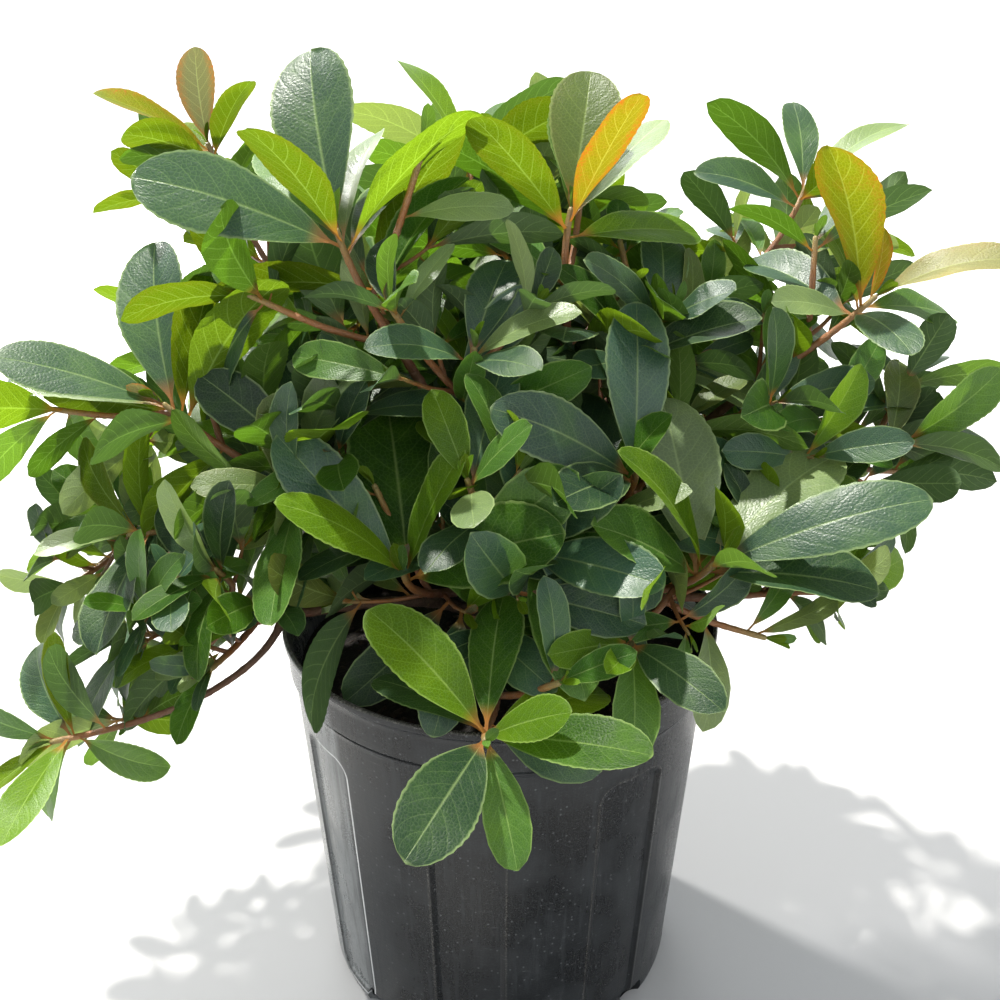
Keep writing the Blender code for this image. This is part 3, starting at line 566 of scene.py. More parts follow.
def panel_distance(point):
    """Distance in from the nearest panel's edge, below 0 outside it."""
    radius = math.hypot(point[0], point[1])
    if radius < body_radius(point[2]) - 1.0 * MM:
        return -1.0
    turn = math.atan2(point[1], point[0]) - PANEL_TURN + PANEL_PITCH / 2
    turn = turn % PANEL_PITCH - PANEL_PITCH / 2
    across = abs(turn) * PANEL_REACH - (PANEL_HALF_WIDTH - PANEL_CORNER)
    along = abs(point[2] - PANEL_MIDDLE) - (PANEL_HALF_HEIGHT - PANEL_CORNER)
    outside = math.hypot(max(across, 0.0), max(along, 0.0)) + min(max(across, along), 0.0)
    return PANEL_CORNER - outside


def soft_step(value, low, high):
    share = min(1.0, max(0.0, (value - low) / (high - low)))
    return share * share * (3 - 2 * share)


press = pot.vertex_groups.new(name="panels")
for vert in pot.data.vertices:
    weight = soft_step(panel_distance(vert.co), 0.0, PANEL_SOFT)
    if weight > 0:
        press.add([vert.index], weight, "REPLACE")

bpy.ops.object.select_all(action="DESELECT")
pot.select_set(True)
bpy.context.view_layer.objects.active = pot
bpy.ops.object.modifier_add(type="DISPLACE")
dent = pot.modifiers[-1]
dent.vertex_group = "panels"
dent.mid_level = 0.0
dent.strength = -PANEL_DEPTH
bpy.ops.object.modifier_apply(modifier=dent.name)
print("panels pressed by", PANEL_DEPTH / MM, "mm")

# %% [markdown]
# Four drain holes are cut through the rounded foot of the pot. At each place a bevelled block is made
# and subtracted with a Boolean modifier. The first hole shows at the lower right from the front.

# %% Cut the drain holes
HOLE_COUNT = 4
HOLE_WIDTH = 18 * MM
HOLE_HEIGHT = 16 * MM
HOLE_MIDDLE = 10.6 * MM
HOLE_TURN = PANEL_TURN + 1.25 * PANEL_PITCH
HOLE_ROUND = 4 * MM
HOLE_LENGTH = 28 * MM

for k in range(HOLE_COUNT):
    turn = HOLE_TURN + k * 2 * math.pi / HOLE_COUNT
    place = (FOOT_RADIUS * math.cos(turn), FOOT_RADIUS * math.sin(turn), HOLE_MIDDLE)
    bpy.ops.object.select_all(action="DESELECT")
    bpy.ops.mesh.primitive_cube_add(size=1.0, location=place, rotation=(0, 0, turn))
    cutter = bpy.context.object
    cutter.scale = (HOLE_LENGTH, HOLE_WIDTH, HOLE_HEIGHT)
    bpy.ops.object.transform_apply(location=True, rotation=True, scale=True)
    open_edit("EDGE")
    bpy.ops.mesh.select_all(action="SELECT")
    bpy.ops.mesh.bevel(offset=HOLE_ROUND, segments=5, affect="EDGES")
    close_edit()
    bpy.ops.object.select_all(action="DESELECT")
    pot.select_set(True)
    bpy.context.view_layer.objects.active = pot
    bpy.ops.object.modifier_add(type="BOOLEAN")
    cut = pot.modifiers[-1]
    cut.operation = "DIFFERENCE"
    cut.object = cutter
    cut.solver = "MANIFOLD"
    bpy.ops.object.modifier_apply(modifier=cut.name)
    bpy.data.objects.remove(cutter, do_unlink=True)

bpy.ops.object.shade_smooth_by_angle(angle=math.radians(35))
pot.data.materials.clear()
pot.data.materials.append(POT_PLASTIC)
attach(pot, "root")
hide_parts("pot")
print("pot:", len(pot.data.polygons), "faces")

# %% [markdown]
# The potting mix is almost black, damp and crumbly: peat with shreds of bark. It is turned like the pot,
# then two Displace modifiers with cloud textures heave its top, one for clods and one for crumbs.


# %% Soil material
def soil_material(name, dark, light, roughness):
    mat, tree, shader = new_material(name)
    blotch, grain = dust(tree, 140.0, 1600.0)
    crumbs = cells(object_place(tree), 420.0)
    shade = smooth(crumbs, 0.0, 0.7, 1.0, 0.35)
    grey = signal(tree, "ShaderNodeCombineColor", 0, {0: shade, 1: shade, 2: shade})
    colour = blend(1.0, blend(blotch * grain, dark, light), grey, "MULTIPLY")
    finish_shader(shader, colour, smooth(grain, 0.0, 1.0, roughness, 1.0))
    raise_relief(shader, crumbs + grain, 0.8, 0.7 * MM)
    return mat


PEAT = soil_material("peat", (0.017, 0.012, 0.008), (0.085, 0.056, 0.036), 0.85)
BARK_CHIP = soil_material("bark_chip", (0.050, 0.028, 0.017), (0.19, 0.115, 0.070), 0.75)
PALE_CHIP = soil_material("pale_chip", (0.16, 0.115, 0.075), (0.34, 0.27, 0.19), 0.7)
print("soil materials ready")

# %% Turn and heave the soil
SOIL_EDGE = 194 * MM
SOIL_TOP = 200 * MM
SOIL_GAP = 0.5 * MM
SOIL_STEPS = 150
SOIL_RINGS = 38


def soil_radius(z):
    return body_radius(z) - WALL - SOIL_GAP


def soil_height(radius):
    share = min(1.0, radius / soil_radius(SOIL_EDGE))
    return SOIL_TOP - (SOIL_TOP - SOIL_EDGE) * share ** 2.2


def soil_profile():
    floor_z = FLOOR_TOP + SOIL_GAP
    outer = soil_radius(SOIL_EDGE)
    points = [(0.0, floor_z), (BODY_LOW_RADIUS - WALL - 8 * MM, floor_z),
              (soil_radius(floor_z + 9 * MM) - 1 * MM, floor_z + 9 * MM), (outer, SOIL_EDGE - 2 * MM)]
    for i in range(SOIL_RINGS + 1):
        radius = outer * (1 - i / SOIL_RINGS)
        points.append((radius, soil_height(radius)))
    return points


soil = turned("soil_mix", soil_profile(), SOIL_STEPS)
top = soil.vertex_groups.new(name="top")
for vert in soil.data.vertices:
    if vert.co.z > SOIL_EDGE - 3 * MM:
        inside = soft_step(soil_radius(SOIL_EDGE) - math.hypot(vert.co.x, vert.co.y), 0.0, 3 * MM)
        top.add([vert.index], inside, "REPLACE")
for name, size, strength in (("clods", 13 * MM, 5.0 * MM), ("crumbs", 3.5 * MM, 2.4 * MM)):
    texture = bpy.data.textures.new(name, "CLOUDS")
    texture.noise_scale = size
    texture.noise_depth = 2
    bpy.ops.object.modifier_add(type="DISPLACE")
    heave = soil.modifiers[-1]
    heave.texture = texture
    heave.texture_coords = "LOCAL"
    heave.direction = "Z"
    heave.vertex_group = "top"
    heave.mid_level = 0.55
    heave.strength = strength
    bpy.ops.object.modifier_apply(modifier=heave.name)
bpy.ops.object.shade_smooth()
soil.data.materials.clear()
soil.data.materials.append(PEAT)
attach(soil, "root")
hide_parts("soil")
print("soil:", len(soil.data.polygons), "faces")

# %% [markdown]
# Shreds of bark lie on the mix. One shred is modelled from a cube, subdivided and roughened, and copied
# to places drawn by a seeded rule. Each copy is stretched and turned its own way, then all are joined.

# %% Scatter the bark shreds
# Name, how many, seed, shortest and longest shred, material
SHREDS = [
    ("bark_shreds", 420, 3, 2.0 * MM, 9.5 * MM, BARK_CHIP),
    ("pale_shreds", 46, 4, 1.6 * MM, 5.0 * MM, PALE_CHIP),
]
SHRED_SPREAD = soil_radius(SOIL_EDGE) - 5 * MM
SHRED_LIFT = 0.05

SOIL_TREE = BVHTree.FromPolygons([v.co.copy() for v in soil.data.vertices],
                                 [tuple(p.vertices) for p in soil.data.polygons])


def ground_at(x, y):
    return SOIL_TREE.ray_cast(Vector((x, y, POT_HEIGHT + 50 * MM)), Vector((0, 0, -1)))[0]


def shred_pattern():
    bpy.ops.object.select_all(action="DESELECT")
    bpy.ops.mesh.primitive_cube_add(size=1.0)
    obj = bpy.context.object
    open_edit("EDGE")
    bpy.ops.mesh.select_all(action="SELECT")
    bpy.ops.mesh.subdivide(number_cuts=2, smoothness=0.4, fractal=0.0)
    bpy.ops.transform.vertex_random(offset=0.11, uniform=1.0, seed=5)
    close_edit()
    return obj


def scatter_shreds(name, count, seed, shortest, longest, mat):
    rng = random.Random(seed)
    pattern = shred_pattern()
    copies = []
    for _ in range(count):
        reach = SHRED_SPREAD * math.sqrt(rng.random())
        turn = rng.uniform(0, 2 * math.pi)
        ground = ground_at(reach * math.cos(turn), reach * math.sin(turn))
        length = shortest + (longest - shortest) * rng.random() ** 2.2
        shred = pattern.copy()
        shred.data = pattern.data.copy()
        bpy.context.scene.collection.objects.link(shred)
        shred.scale = (length, length * rng.uniform(0.25, 0.5), length * rng.uniform(0.12, 0.3))
        shred.rotation_euler = (rng.uniform(-0.5, 0.5), rng.uniform(-0.4, 0.4), rng.uniform(0, 6.28))
        shred.location = ground + Vector((0, 0, SHRED_LIFT * length))
        copies.append(shred)
    bpy.data.objects.remove(pattern, do_unlink=True)
    bpy.ops.object.select_all(action="DESELECT")
    for shred in copies:
        shred.select_set(True)
    bpy.context.view_layer.objects.active = copies[0]
    bpy.ops.object.transform_apply(location=True, rotation=True, scale=True)
    bpy.ops.object.join()
    pile = bpy.context.object
    pile.name = name
    bpy.ops.object.shade_smooth_by_angle(angle=math.radians(40))
    pile.data.materials.clear()
    pile.data.materials.append(mat)
    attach(pile, "root")
    return pile


piles = [scatter_shreds(*shred) for shred in SHREDS]
print("shreds:", sum(len(pile.data.polygons) for pile in piles), "faces")

# %% [markdown]
# Now the plant. Its form comes from one rule, the same that shaped the solid parts: limbs leave the trunk
# square to its skin and bend to the heart of a whorl, twigs branch from the end of each limb, and each
# twig carries leaves turned by the golden angle. The same seeds draw the same sways, so every leaf here
# lies where its solid lies, and only then does the crown get finer twigs and smaller leaves.

# %% Shoots by name
# Name, parent, place along the parent, heart of the whorl in cm, azimuth and rise of its axis in degrees,
# leaf length in cm, leaves by rule, spin in degrees, twigs by rule, kind of leaf
SHOOTS = [
    ("crown_left", "trunk", 1.00, (-7.0, -2.0, 41.5), (170, 72), 7.4, 6, 300, 2, "fresh"),
    ("crown_right", "trunk", 0.90, (3.2, 1.0, 42.0), (60, 72), 7.0, 6, 150, 2, "fresh"),
    ("left", "trunk", 0.72, (-16.0, 0.0, 33.0), (180, 44), 7.0, 5, 250, 3, "fresh"),
    ("right", "trunk", 0.78, (18.0, 2.0, 38.0), (-8, 45), 5.8, 5, 300, 2, "fresh"),
    ("front_left", "trunk", 0.58, (-4.4, -6.0, 26.8), (-100, 62), 7.0, 6, 10, 1, "dark"),
    ("front_right", "trunk", 0.62, (9.3, -7.0, 27.8), (-40, 55), 7.0, 5, 300, 1, "fresh"),
    ("front_low", "trunk", 0.44, (-0.6, -13.4, 23.4), (-90, 34), 5.0, 3, 190, 1, "fresh"),
    ("left_low", "trunk", 0.26, (-17.8, -5.0, 23.4), (195, 8), 4.5, 9, 20, 2, "dark"),
    ("right_low", "trunk", 0.38, (16.0, -4.0, 25.2), (-15, 8), 4.9, 8, 75, 2, "dark"),
    ("back", "trunk", 0.84, (2.0, 17.0, 37.0), (80, 45), 6.8, 9, 0, 2, "dark"),
    ("back_left_low", "trunk", 0.46, (-14.5, 13.0, 27.0), (140, 25), 5.6, 8, 45, 2, "dark"),
    ("back_right_low", "trunk", 0.50, (13.5, 14.0, 26.6), (45, 22), 5.6, 8, 110, 2, "dark"),
    ("back_low", "trunk", 0.34, (-1.0, 18.0, 25.6), (95, 20), 5.2, 8, 70, 1, "dark"),
    ("crown_back_left", "left", 0.42, (-15.4, 9.5, 44.4), (150, 68), 5.4, 6, 240, 2, "fresh"),
    ("crown_back", "crown_right", 0.45, (-1.7, 11.0, 43.6), (95, 70), 6.4, 7, 15, 2, "dark"),
    ("crown_back_right", "right", 0.46, (16.8, 11.0, 42.0), (30, 66), 5.4, 6, 35, 2, "fresh"),
    ("right_middle", "right", 0.52, (19.6, -0.5, 31.6), (-10, 30), 5.6, 8, 20, 2, "dark"),
    ("middle", "crown_left", 0.46, (-1.2, -4.2, 37.0), (-70, 70), 5.4, 7, 60, 2, "dark"),
    ("inner_right", "crown_right", 0.38, (8.0, 1.5, 37.2), (-20, 60), 5.6, 7, 310, 2, "dark"),
    ("front_middle", "front_right", 0.40, (6.2, -5.0, 31.6), (-95, 58), 6.2, 6, 85, 1, "dark"),
    ("far_left", "left", 0.50, (-21.8, 3.0, 25.6), (175, 20), 4.9, 7, 0, 2, "dark"),
    ("far_left_low", "left_low", 0.58, (-20.0, -9.6, 20.6), (205, 5), 4.6, 5, 25, 0, "fresh"),
    ("back_left", "back", 0.40, (-9.5, 15.5, 34.5), (120, 45), 6.4, 8, 50, 2, "dark"),
    ("back_right", "back", 0.44, (10.5, 15.0, 34.0), (50, 42), 6.4, 8, 90, 1, "dark"),
    ("inner_left", "left", 0.30, (-9.6, -1.5, 31.0), (210, 58), 6.2, 8, 0, 1, "dark"),
    ("inner_back", "back", 0.26, (2.5, 8.0, 34.0), (40, 72), 6.2, 8, 120, 2, "dark"),
    ("centre", "front_left", 0.30, (1.4, -6.6, 28.6), (-70, 50), 6.2, 8, 40, 1, "dark"),
    ("inner_low", "trunk", 0.56, (-1.5, 8.6, 28.4), (100, 50), 6.2, 8, 0, 1, "dark"),
]

# Leaves that stand out from the front: azimuth and rise from root to tip, length in cm, tint, how far the
# blade turns its face to the front (1 is flat on, below 0 shows the underside), its breadth, and for some
# how far the seen blade is drawn out in length
# Of these tints, pale is a painted sunlit sheen and the darkest green is painted shade.
STAR_LEAVES = {
    "crown_left": [(-164, 23, 9.0, "deep", 0.85, 1.0, 1.0), (114, 58, 8.6, "deep", 0.97, 1.0),
                   (-118, 42, 7.0, "lime", -0.62, 0.95, 1.16), (4, 44, 7.8, "fresh", -0.40, 0.9),
                   (77, 46, 6.2, "pale", 0.50, 0.9)],
    "crown_right": [(-137, 42, 7.0, "lime", -0.80, 0.9, 1.14), (72, 58, 7.4, "olive", 1.0, 1.12, 0.96),
                    (-55, 50, 7.0, "gold", -0.60, 0.95, 1.12), (37, 34, 7.2, "pale", 0.60, 0.9)],
    "left": [(-162, 26, 7.6, "deep", 0.70, 0.95), (113, 58, 8.2, "deep", 0.90, 1.0, 1.08),
             (-10, 58, 7.6, "fresh", -0.85, 1.0, 1.16), (164, -2, 6.6, "lime", -0.80, 1.1),
             (172, 14, 8.6, "pale", 0.60, 1.0)],
    "right": [(-145, 66, 6.8, "amber", -0.80, 1.0, 1.25), (20, 80, 3.4, "gold", -0.70, 0.9),
              (-20, 26, 6.4, "straw", 0.50, 0.9), (-86, 0, 5.4, "deep", 0.70, 1.0),
              (140, 26, 6.4, "deep", 0.65, 1.0), (-151, 16, 5.0, "pale", 0.50, 0.9)],
    "front_left": [(110, 50, 9.2, "moss", 1.0, 1.12), (-21, 66, 6.5, "fresh", 0.55, 0.95, 1.1),
                   (-147, 46, 7.0, "fresh", 0.55, 0.95)],
    "front_right": [(99, 45, 8.4, "pale", 0.95, 1.05), (32, 30, 8.8, "pale", 0.85, 0.95),
                    (-11, 28, 9.2, "deep", 0.90, 0.76), (-152, 36, 6.4, "green", 0.70, 1.0),
                    (-155, 58, 7.0, "fresh", 0.35, 0.9)],
    "front_low": [(156, 43, 6.6, "fresh", 0.92, 1.1), (81, 38, 6.2, "moss", 0.85, 1.0),
                  (40, 8, 6.0, "fresh", 0.80, 1.0), (-36, 36, 4.6, "fresh", 0.80, 1.0),
                  # The darkest green on two of these leaves is painted shade.
                  (-32, 14, 6.4, "moss", 0.85, 1.05, 1.16), (-113, -2, 5.8, "ink", 1.0, 1.3, 1.16),
                  (144, 8, 5.6, "ink", 0.8, 1.0)],
    "crown_back_left": [(-167, 84, 4.2, "bronze", -0.95, 1.25, 1.15),
                        (-47, 48, 4.4, "lime", -0.70, 1.0, 1.25),
                        (-161, 30, 4.6, "amber", 0.45, 1.0, 1.35), (-131, 18, 5.2, "lime", -0.85, 1.1)],
    "crown_back": [(135, 46, 6.0, "fresh", 0.55, 1.0, 1.25), (-38, 30, 6.6, "lime", -0.85, 1.1, 1.22)],
    "crown_back_right": [(86, 50, 4.8, "deep", 0.90, 1.15, 1.3), (-69, 32, 4.6, "lime", -0.95, 1.3),
                         (29, 32, 5.8, "pale", 0.70, 0.9, 1.3), (-160, 24, 5.6, "deep", 0.65, 1.0, 1.15)],
    "right_middle": [(71, 42, 4.8, "olive", 0.85, 1.0), (-9, 42, 5.0, "green", 0.85, 1.15)],
    "middle": [(64, 45, 5.4, "deep", 0.95, 1.1), (-142, 22, 4.8, "deep", 0.55, 1.0),
               (-52, 12, 4.5, "deep", 0.55, 1.0)],
    "inner_right": [(84, 50, 5.4, "deep", 0.95, 1.1), (-142, 42, 5.6, "deep", 0.65, 1.0),
                    (-58, 26, 4.8, "deep", 0.65, 1.0)],
    "front_middle": [(-154, 36, 7.6, "deep", 0.85, 1.0), (123, 26, 6.4, "deep", 0.95, 1.1)],
    "far_left_low": [(-93, -4, 5.6, "fresh", 0.75, 1.0, 1.15), (-26, -4, 4.6, "green", 0.65, 1.0),
                     (-171, 30, 4.8, "deep", 0.65, 1.0), (131, 30, 5.0, "deep", 0.75, 1.0)],
}

# Twigs that branch from a mass's own stem: mass, place along it, heart, axis, length, leaves, spin
SIDE_SHOOTS = [
    ("front_right", 0.55, (5.6, -9.4, 25.4), (-90, 30), 4.6, 7, 40),
    ("left_low", 0.35, (-12.8, -6.0, 27.4), (230, 30), 4.8, 8, 65),
    ("left", 0.40, (-17.4, -3.4, 27.8), (195, 30), 5.6, 7, 95),
]
print("shoots named:", len(SHOOTS))

# %% [markdown]
# Lines and tubes. A limb is first a smooth line of points. A tube round it, with its own radius at each
# point, is its skin. Coarse tubes test what touches what, and fine ones are what is seen.


# %% Lines and tubes
UP = Vector((0.0, 0.0, 1.0))
# How far a curve keeps its first way and its last, as shares of its reach, and how it sways between
START_PULL = 0.30
END_PULL = 0.36
SWAY_TURNS = 2.3


def tree_of(verts, faces):
    return BVHTree.FromPolygons([tuple(v) for v in verts], faces, epsilon=0.0)


def tube(points, radii, sides, first_normal=None, last_normal=None):
    count = len(points)
    tangents = []
    for i in range(count):
        ahead = points[min(i + 1, count - 1)]
        behind = points[max(i - 1, 0)]
        tangents.append((ahead - behind).normalized())
    if first_normal is not None:
        tangents[0] = first_normal
    if last_normal is not None:
        tangents[-1] = last_normal
    side = tangents[0].orthogonal().normalized()
    verts = []
    for i in range(count):
        tangent = tangents[i]
        side = (side - tangent * side.dot(tangent)).normalized()
        other = tangent.cross(side)
        for k in range(sides):
            turn = 2 * math.pi * k / sides
            verts.append(points[i] + (side * math.cos(turn) + other * math.sin(turn)) * radii[i])
    faces = [tuple(range(sides - 1, -1, -1)), tuple(range((count - 1) * sides, count * sides))]
    for i in range(count - 1):
        for k in range(sides):
            j = (k + 1) % sides
            low = i * sides
            faces.append((low + k, low + j, low + sides + j, low + sides + k))
    return verts, faces


def unit(azimuth, rise):
    a = math.radians(azimuth)
    r = math.radians(rise)
    return Vector((math.cos(a) * math.cos(r), math.sin(a) * math.cos(r), math.sin(r)))


def curve_points(start, leave, tip, axis, spans, sway):
    reach = (tip - start).length
    a = start + leave * (START_PULL * reach)
    b = tip - axis * (END_PULL * reach)
    aside = axis.cross(tip - start)
    aside = aside.normalized() if aside.length > 1e-6 else Vector((1, 0, 0))
    points = []
    for i in range(spans + 1):
        t = i / spans
        p = start * (1 - t) ** 3 + a * 3 * t * (1 - t) ** 2 + b * 3 * t * t * (1 - t) + tip * t ** 3
        p = p + aside * sway * math.sin(math.pi * t) * math.sin(SWAY_TURNS * math.pi * t)
        points.append(p)
    return points


def along_line(points, share):
    lengths = [0.0]
    for a, b in zip(points, points[1:]):
        lengths.append(lengths[-1] + (b - a).length)
    want = share * lengths[-1]
    for i in range(len(points) - 1):
        if lengths[i + 1] >= want or i == len(points) - 2:
            span = lengths[i + 1] - lengths[i]
            t = min(1.0, max(0.0, (want - lengths[i]) / span))
            return points[i].lerp(points[i + 1], t), (points[i + 1] - points[i]).normalized()


def line_length(points):
    return sum((b - a).length for a, b in zip(points, points[1:]))


def cut_line(points, from_share, to_share, spans):
    return [along_line(points, from_share + (to_share - from_share) * i / spans)[0] for i in range(spans + 1)]

# %% [markdown]
# The trunk is a short leaning line. Each bough starts square to the skin of its parent and bends to the
# heart of its whorl. Its last part, from the entry on, is the thin stem that belongs to the foliage.


# %% Limbs
GAP = 0.3 * MM
TRUNK_FOOT = Vector((-10 * MM, 8 * MM, SOIL_TOP + GAP))
TRUNK_TIP = Vector((-6 * MM, 3 * MM, 262 * MM))
TRUNK_BOW = 2.5 * MM
TRUNK_FLARE = 16 * MM
TRUNK_RADIUS = 10 * MM
TRUNK_TIP_RADIUS = 7.5 * MM
TRUNK_SPANS = 6
BOUGH_SLENDER = 0.017
BOUGH_MAX_RADIUS = 5.2 * MM
BOUGH_MIN_RADIUS = 3.2 * MM
BOUGH_SWAY = 5
BOUGH_LIFT = 0.45
# A limb is at least this much thinner than what carries it
THINNER = 0.8
ENTRY_RADIUS = 2.3 * MM
TIP_RADIUS = 1.6 * MM
LIMB_SPANS = 24
STEM_SHARE = 0.42
STEM_MIN = 42 * MM
STEM_MAX = 85 * MM
# Length of the stem that a whorl's leaves are set along, as a share of a leaf's length
ROSETTE_RUN = 0.22


def trunk_radius(share):
    if share < 1 / TRUNK_SPANS:
        return TRUNK_FLARE + (TRUNK_RADIUS - TRUNK_FLARE) * share * TRUNK_SPANS
    return TRUNK_RADIUS + (TRUNK_TIP_RADIUS - TRUNK_RADIUS) * (share * TRUNK_SPANS - 1) / (TRUNK_SPANS - 1)


def radius_at(limb, share):
    if limb["name"] == "trunk":
        return trunk_radius(share)
    entry = limb["entry"]
    if share <= entry:
        return limb["base_radius"] + (limb["entry_radius"] - limb["base_radius"]) * share / entry
    return limb["entry_radius"] + (TIP_RADIUS - limb["entry_radius"]) * (share - entry) / (1 - entry)


def trunk_limb():
    points = []
    for i in range(TRUNK_SPANS + 1):
        t = i / TRUNK_SPANS
        p = TRUNK_FOOT.lerp(TRUNK_TIP, t)
        p.x += TRUNK_BOW * math.sin(math.pi * t)
        points.append(p)
    return {"name": "trunk", "line": points}


def grow_limbs():
    rng = random.Random(7)
    limbs = {"trunk": trunk_limb()}
    for name, parent, share, heart, axis, length, leaves, spin, twigs, kind in SHOOTS:
        axis = unit(*axis)
        tip = Vector(heart) * CM + axis * (0.5 * ROSETTE_RUN * length * CM)
        host = limbs[parent]
        at, way = along_line(host["line"], share)
        if share >= 1.0:
            leave = way
            start = at + way * GAP
        else:
            leave = tip - at
            leave = (leave - way * leave.dot(way)).normalized()
            start = at + leave * (radius_at(host, share) + GAP)
        square = leave.copy()
        lift = (leave + way * BOUGH_LIFT).normalized() if share < 1.0 else leave
        sway = rng.uniform(-BOUGH_SWAY, BOUGH_SWAY) * MM
        line = curve_points(start, lift, tip, axis, LIMB_SPANS, sway)
        total = line_length(line)
        stem = min(STEM_MAX, max(STEM_MIN, STEM_SHARE * total))
        base = min(BOUGH_MAX_RADIUS, max(BOUGH_MIN_RADIUS, BOUGH_SLENDER * total))
        base = min(base, THINNER * radius_at(host, min(share, 1.0)))
        limbs[name] = {"name": name, "line": line, "entry": 1 - stem / total, "base_radius": base,
                       "entry_radius": min(ENTRY_RADIUS, THINNER * base), "square": square, "axis": axis,
                       "length": length * CM, "leaves": leaves, "spin": math.radians(spin),
                       "twigs": twigs, "kind": kind, "parent": parent}
    return limbs


LIMBS = grow_limbs()
BOUGHS = {name: limb for name, limb in LIMBS.items() if name != "trunk"}
print("boughs:", len(BOUGHS), "longest", round(max(line_length(limb["line"]) for limb in BOUGHS.values()), 3))

# %% [markdown]
# Nothing may grow through anything else. Each limb and twig is kept as a small tree of its faces, and a
# new twig or leaf is tried against those near it.

# %% What leaves and twigs keep clear of
TRUNK_SIDES = 8
BOUGH_SIDES = 5
BOUGH_SPANS = 5
OBSTACLES = []


def ball_round(verts):
    centre = Vector((0, 0, 0))
    for v in verts:
        centre += v
    centre /= len(verts)
    return centre, max((v - centre).length for v in verts)


def add_obstacle(owner, verts, faces):
    centre, radius = ball_round(verts)
    OBSTACLES.append((owner, tree_of(verts, faces), centre, radius))


def touches(verts, faces, skip):
    centre, radius = ball_round(verts)
    tree = None
    for owner, other, middle, reach in OBSTACLES:
        if owner in skip or (middle - centre).length > reach + radius:
            continue
        if tree is None:
            tree = tree_of(verts, faces)
        if tree.overlap(other):
            return True
    return False


for name in ("pot", "soil"):
    solid = frame["nodes"][name].data
    add_obstacle(name, [v.co.copy() for v in solid.vertices], [tuple(p.vertices) for p in solid.polygons])

trunk_radii = [trunk_radius(i / TRUNK_SPANS) for i in range(TRUNK_SPANS + 1)]
verts, faces = tube(LIMBS["trunk"]["line"], trunk_radii, TRUNK_SIDES, UP)
add_obstacle("trunk", verts, faces)
for name, limb in BOUGHS.items():
    points = cut_line(limb["line"], 0.0, limb["entry"], BOUGH_SPANS)
    radii = [radius_at(limb, limb["entry"] * i / BOUGH_SPANS) for i in range(BOUGH_SPANS + 1)]
    entry_way = along_line(limb["line"], limb["entry"])[1]
    verts, faces = tube(points, radii, BOUGH_SIDES, limb["square"], entry_way)
    add_obstacle("bough_" + name, verts, faces)
print("obstacles:", len(OBSTACLES))

# %% [markdown]
# The stem at the end of each bough carries the main whorl, and side twigs branch from it. A twig tries
# ten turns round its parent and takes the one with the most room.

# %% Twigs by rule
# By rank, 1 for a twig and 2 for a finer one: its radius at its start and tip, the room kept round it
# while it is tried, and the least distance of its tip from the others
TWIG_RADII = {1: (1.7 * MM, TIP_RADIUS), 2: (1.25 * MM, 0.85 * MM)}
TWIG_ROOM = {1: (3.2 * MM, 25 * MM), 2: (1.6 * MM, 15 * MM)}
# Places of twigs along their stem: the first, the step to the next, and how far each may stray
TWIG_PLACES = (0.12, 0.36, 0.08)
TWIG_REACH = (0.85, 1.05)
TWIG_LEAF = 0.8
TURN_TRIES = 10
TWIG_SIDES = 3
TWIG_OPENING = math.radians(52)
TWIG_LIFT = 0.35
TWIG_SWAY = 0.8 * MM
SIDE_SWAY = 1.0 * MM
STEM_SPANS = 3
LOWEST_TIP = 150 * MM
OVER_RIM = 30 * MM
BEYOND_RIM = 25 * MM
REACH_MARGIN = 4 * MM


def inside_reach(point):
    return all(CAD_LOW[i] - REACH_MARGIN <= point[i] <= CAD_HIGH[i] + REACH_MARGIN for i in range(3))


def twig_shoot(mass, line, axis, length, leaves, spin, kind, rank):
    count = len(line) - 1
    thick, thin = TWIG_RADII[rank]
    radii = [thick + (thin - thick) * i / count for i in range(count + 1)]
    verts, faces = tube(line, radii, TWIG_SIDES)
    add_obstacle("twig of " + mass, verts, faces)
    return {"mass": mass, "line": line, "radii": radii, "axis": axis, "length": length,
            "leaves": leaves, "spin": spin, "kind": kind, "main": False, "rank": rank}


def best_turn(name, at, way, first, reach, margin, behind, tips, own):
    """Of ten ways that a twig could turn, the one whose tip lies farthest from the others and clears all."""
    side = way.orthogonal().normalized()
    other = way.cross(side)
    best = None
    for j in range(TURN_TRIES):
        turn = first + j * 2 * math.pi / TURN_TRIES
        radial = side * math.cos(turn) + other * math.sin(turn)
        out = way * math.cos(TWIG_OPENING) + radial * math.sin(TWIG_OPENING)
        axis = (out + UP * TWIG_LIFT).normalized()
        tip = at + out * reach * 0.6 + axis * reach * 0.4
        flat = math.hypot(tip.x, tip.y)
        if tip.z < LOWEST_TIP or (tip.z < POT_HEIGHT + OVER_RIM and flat < RIM_RADIUS + BEYOND_RIM):
            continue
        if behind is not None and tip.y < behind:
            continue
        line = curve_points(at, out, tip, axis, 2, TWIG_SWAY)
        verts, faces = tube(line, [margin] * 3, TWIG_SIDES)
        if touches(verts, faces, {"twig of " + name} | own):
            continue
        score = min((tip - t).length for t in tips)
        if best is None or score > best[0]:
            best = (score, line, axis)
    return best


def sprout(grown, tips, rng, name, line, share, size, leaf_length, leaves, kind, rank, behind,
           own=frozenset()):
    """Grow one twig from a line at a share of it, unless no turn of it has room. Its reach is drawn
    between two shares of a length, which are given as its size."""
    at, way = along_line(line, share)
    first = rng.uniform(0, 2 * math.pi)
    length, shortest, longest = size
    reach = length * rng.uniform(shortest, longest)
    margin, apart = TWIG_ROOM[rank]
    best = best_turn(name, at, way, first, reach, margin, behind, tips, own)
    if best is None or best[0] < apart or (rank == 2 and not inside_reach(best[1][-1])):
        return
    spin = rng.uniform(0, 2 * math.pi)
    grown.append(twig_shoot(name, best[1], best[2], leaf_length, leaves, spin, kind, rank))
    tips.append(best[1][-1])


def twig_place(rng, places, k):
    first, step, stray = places
    return first + step * k + rng.uniform(0, stray)


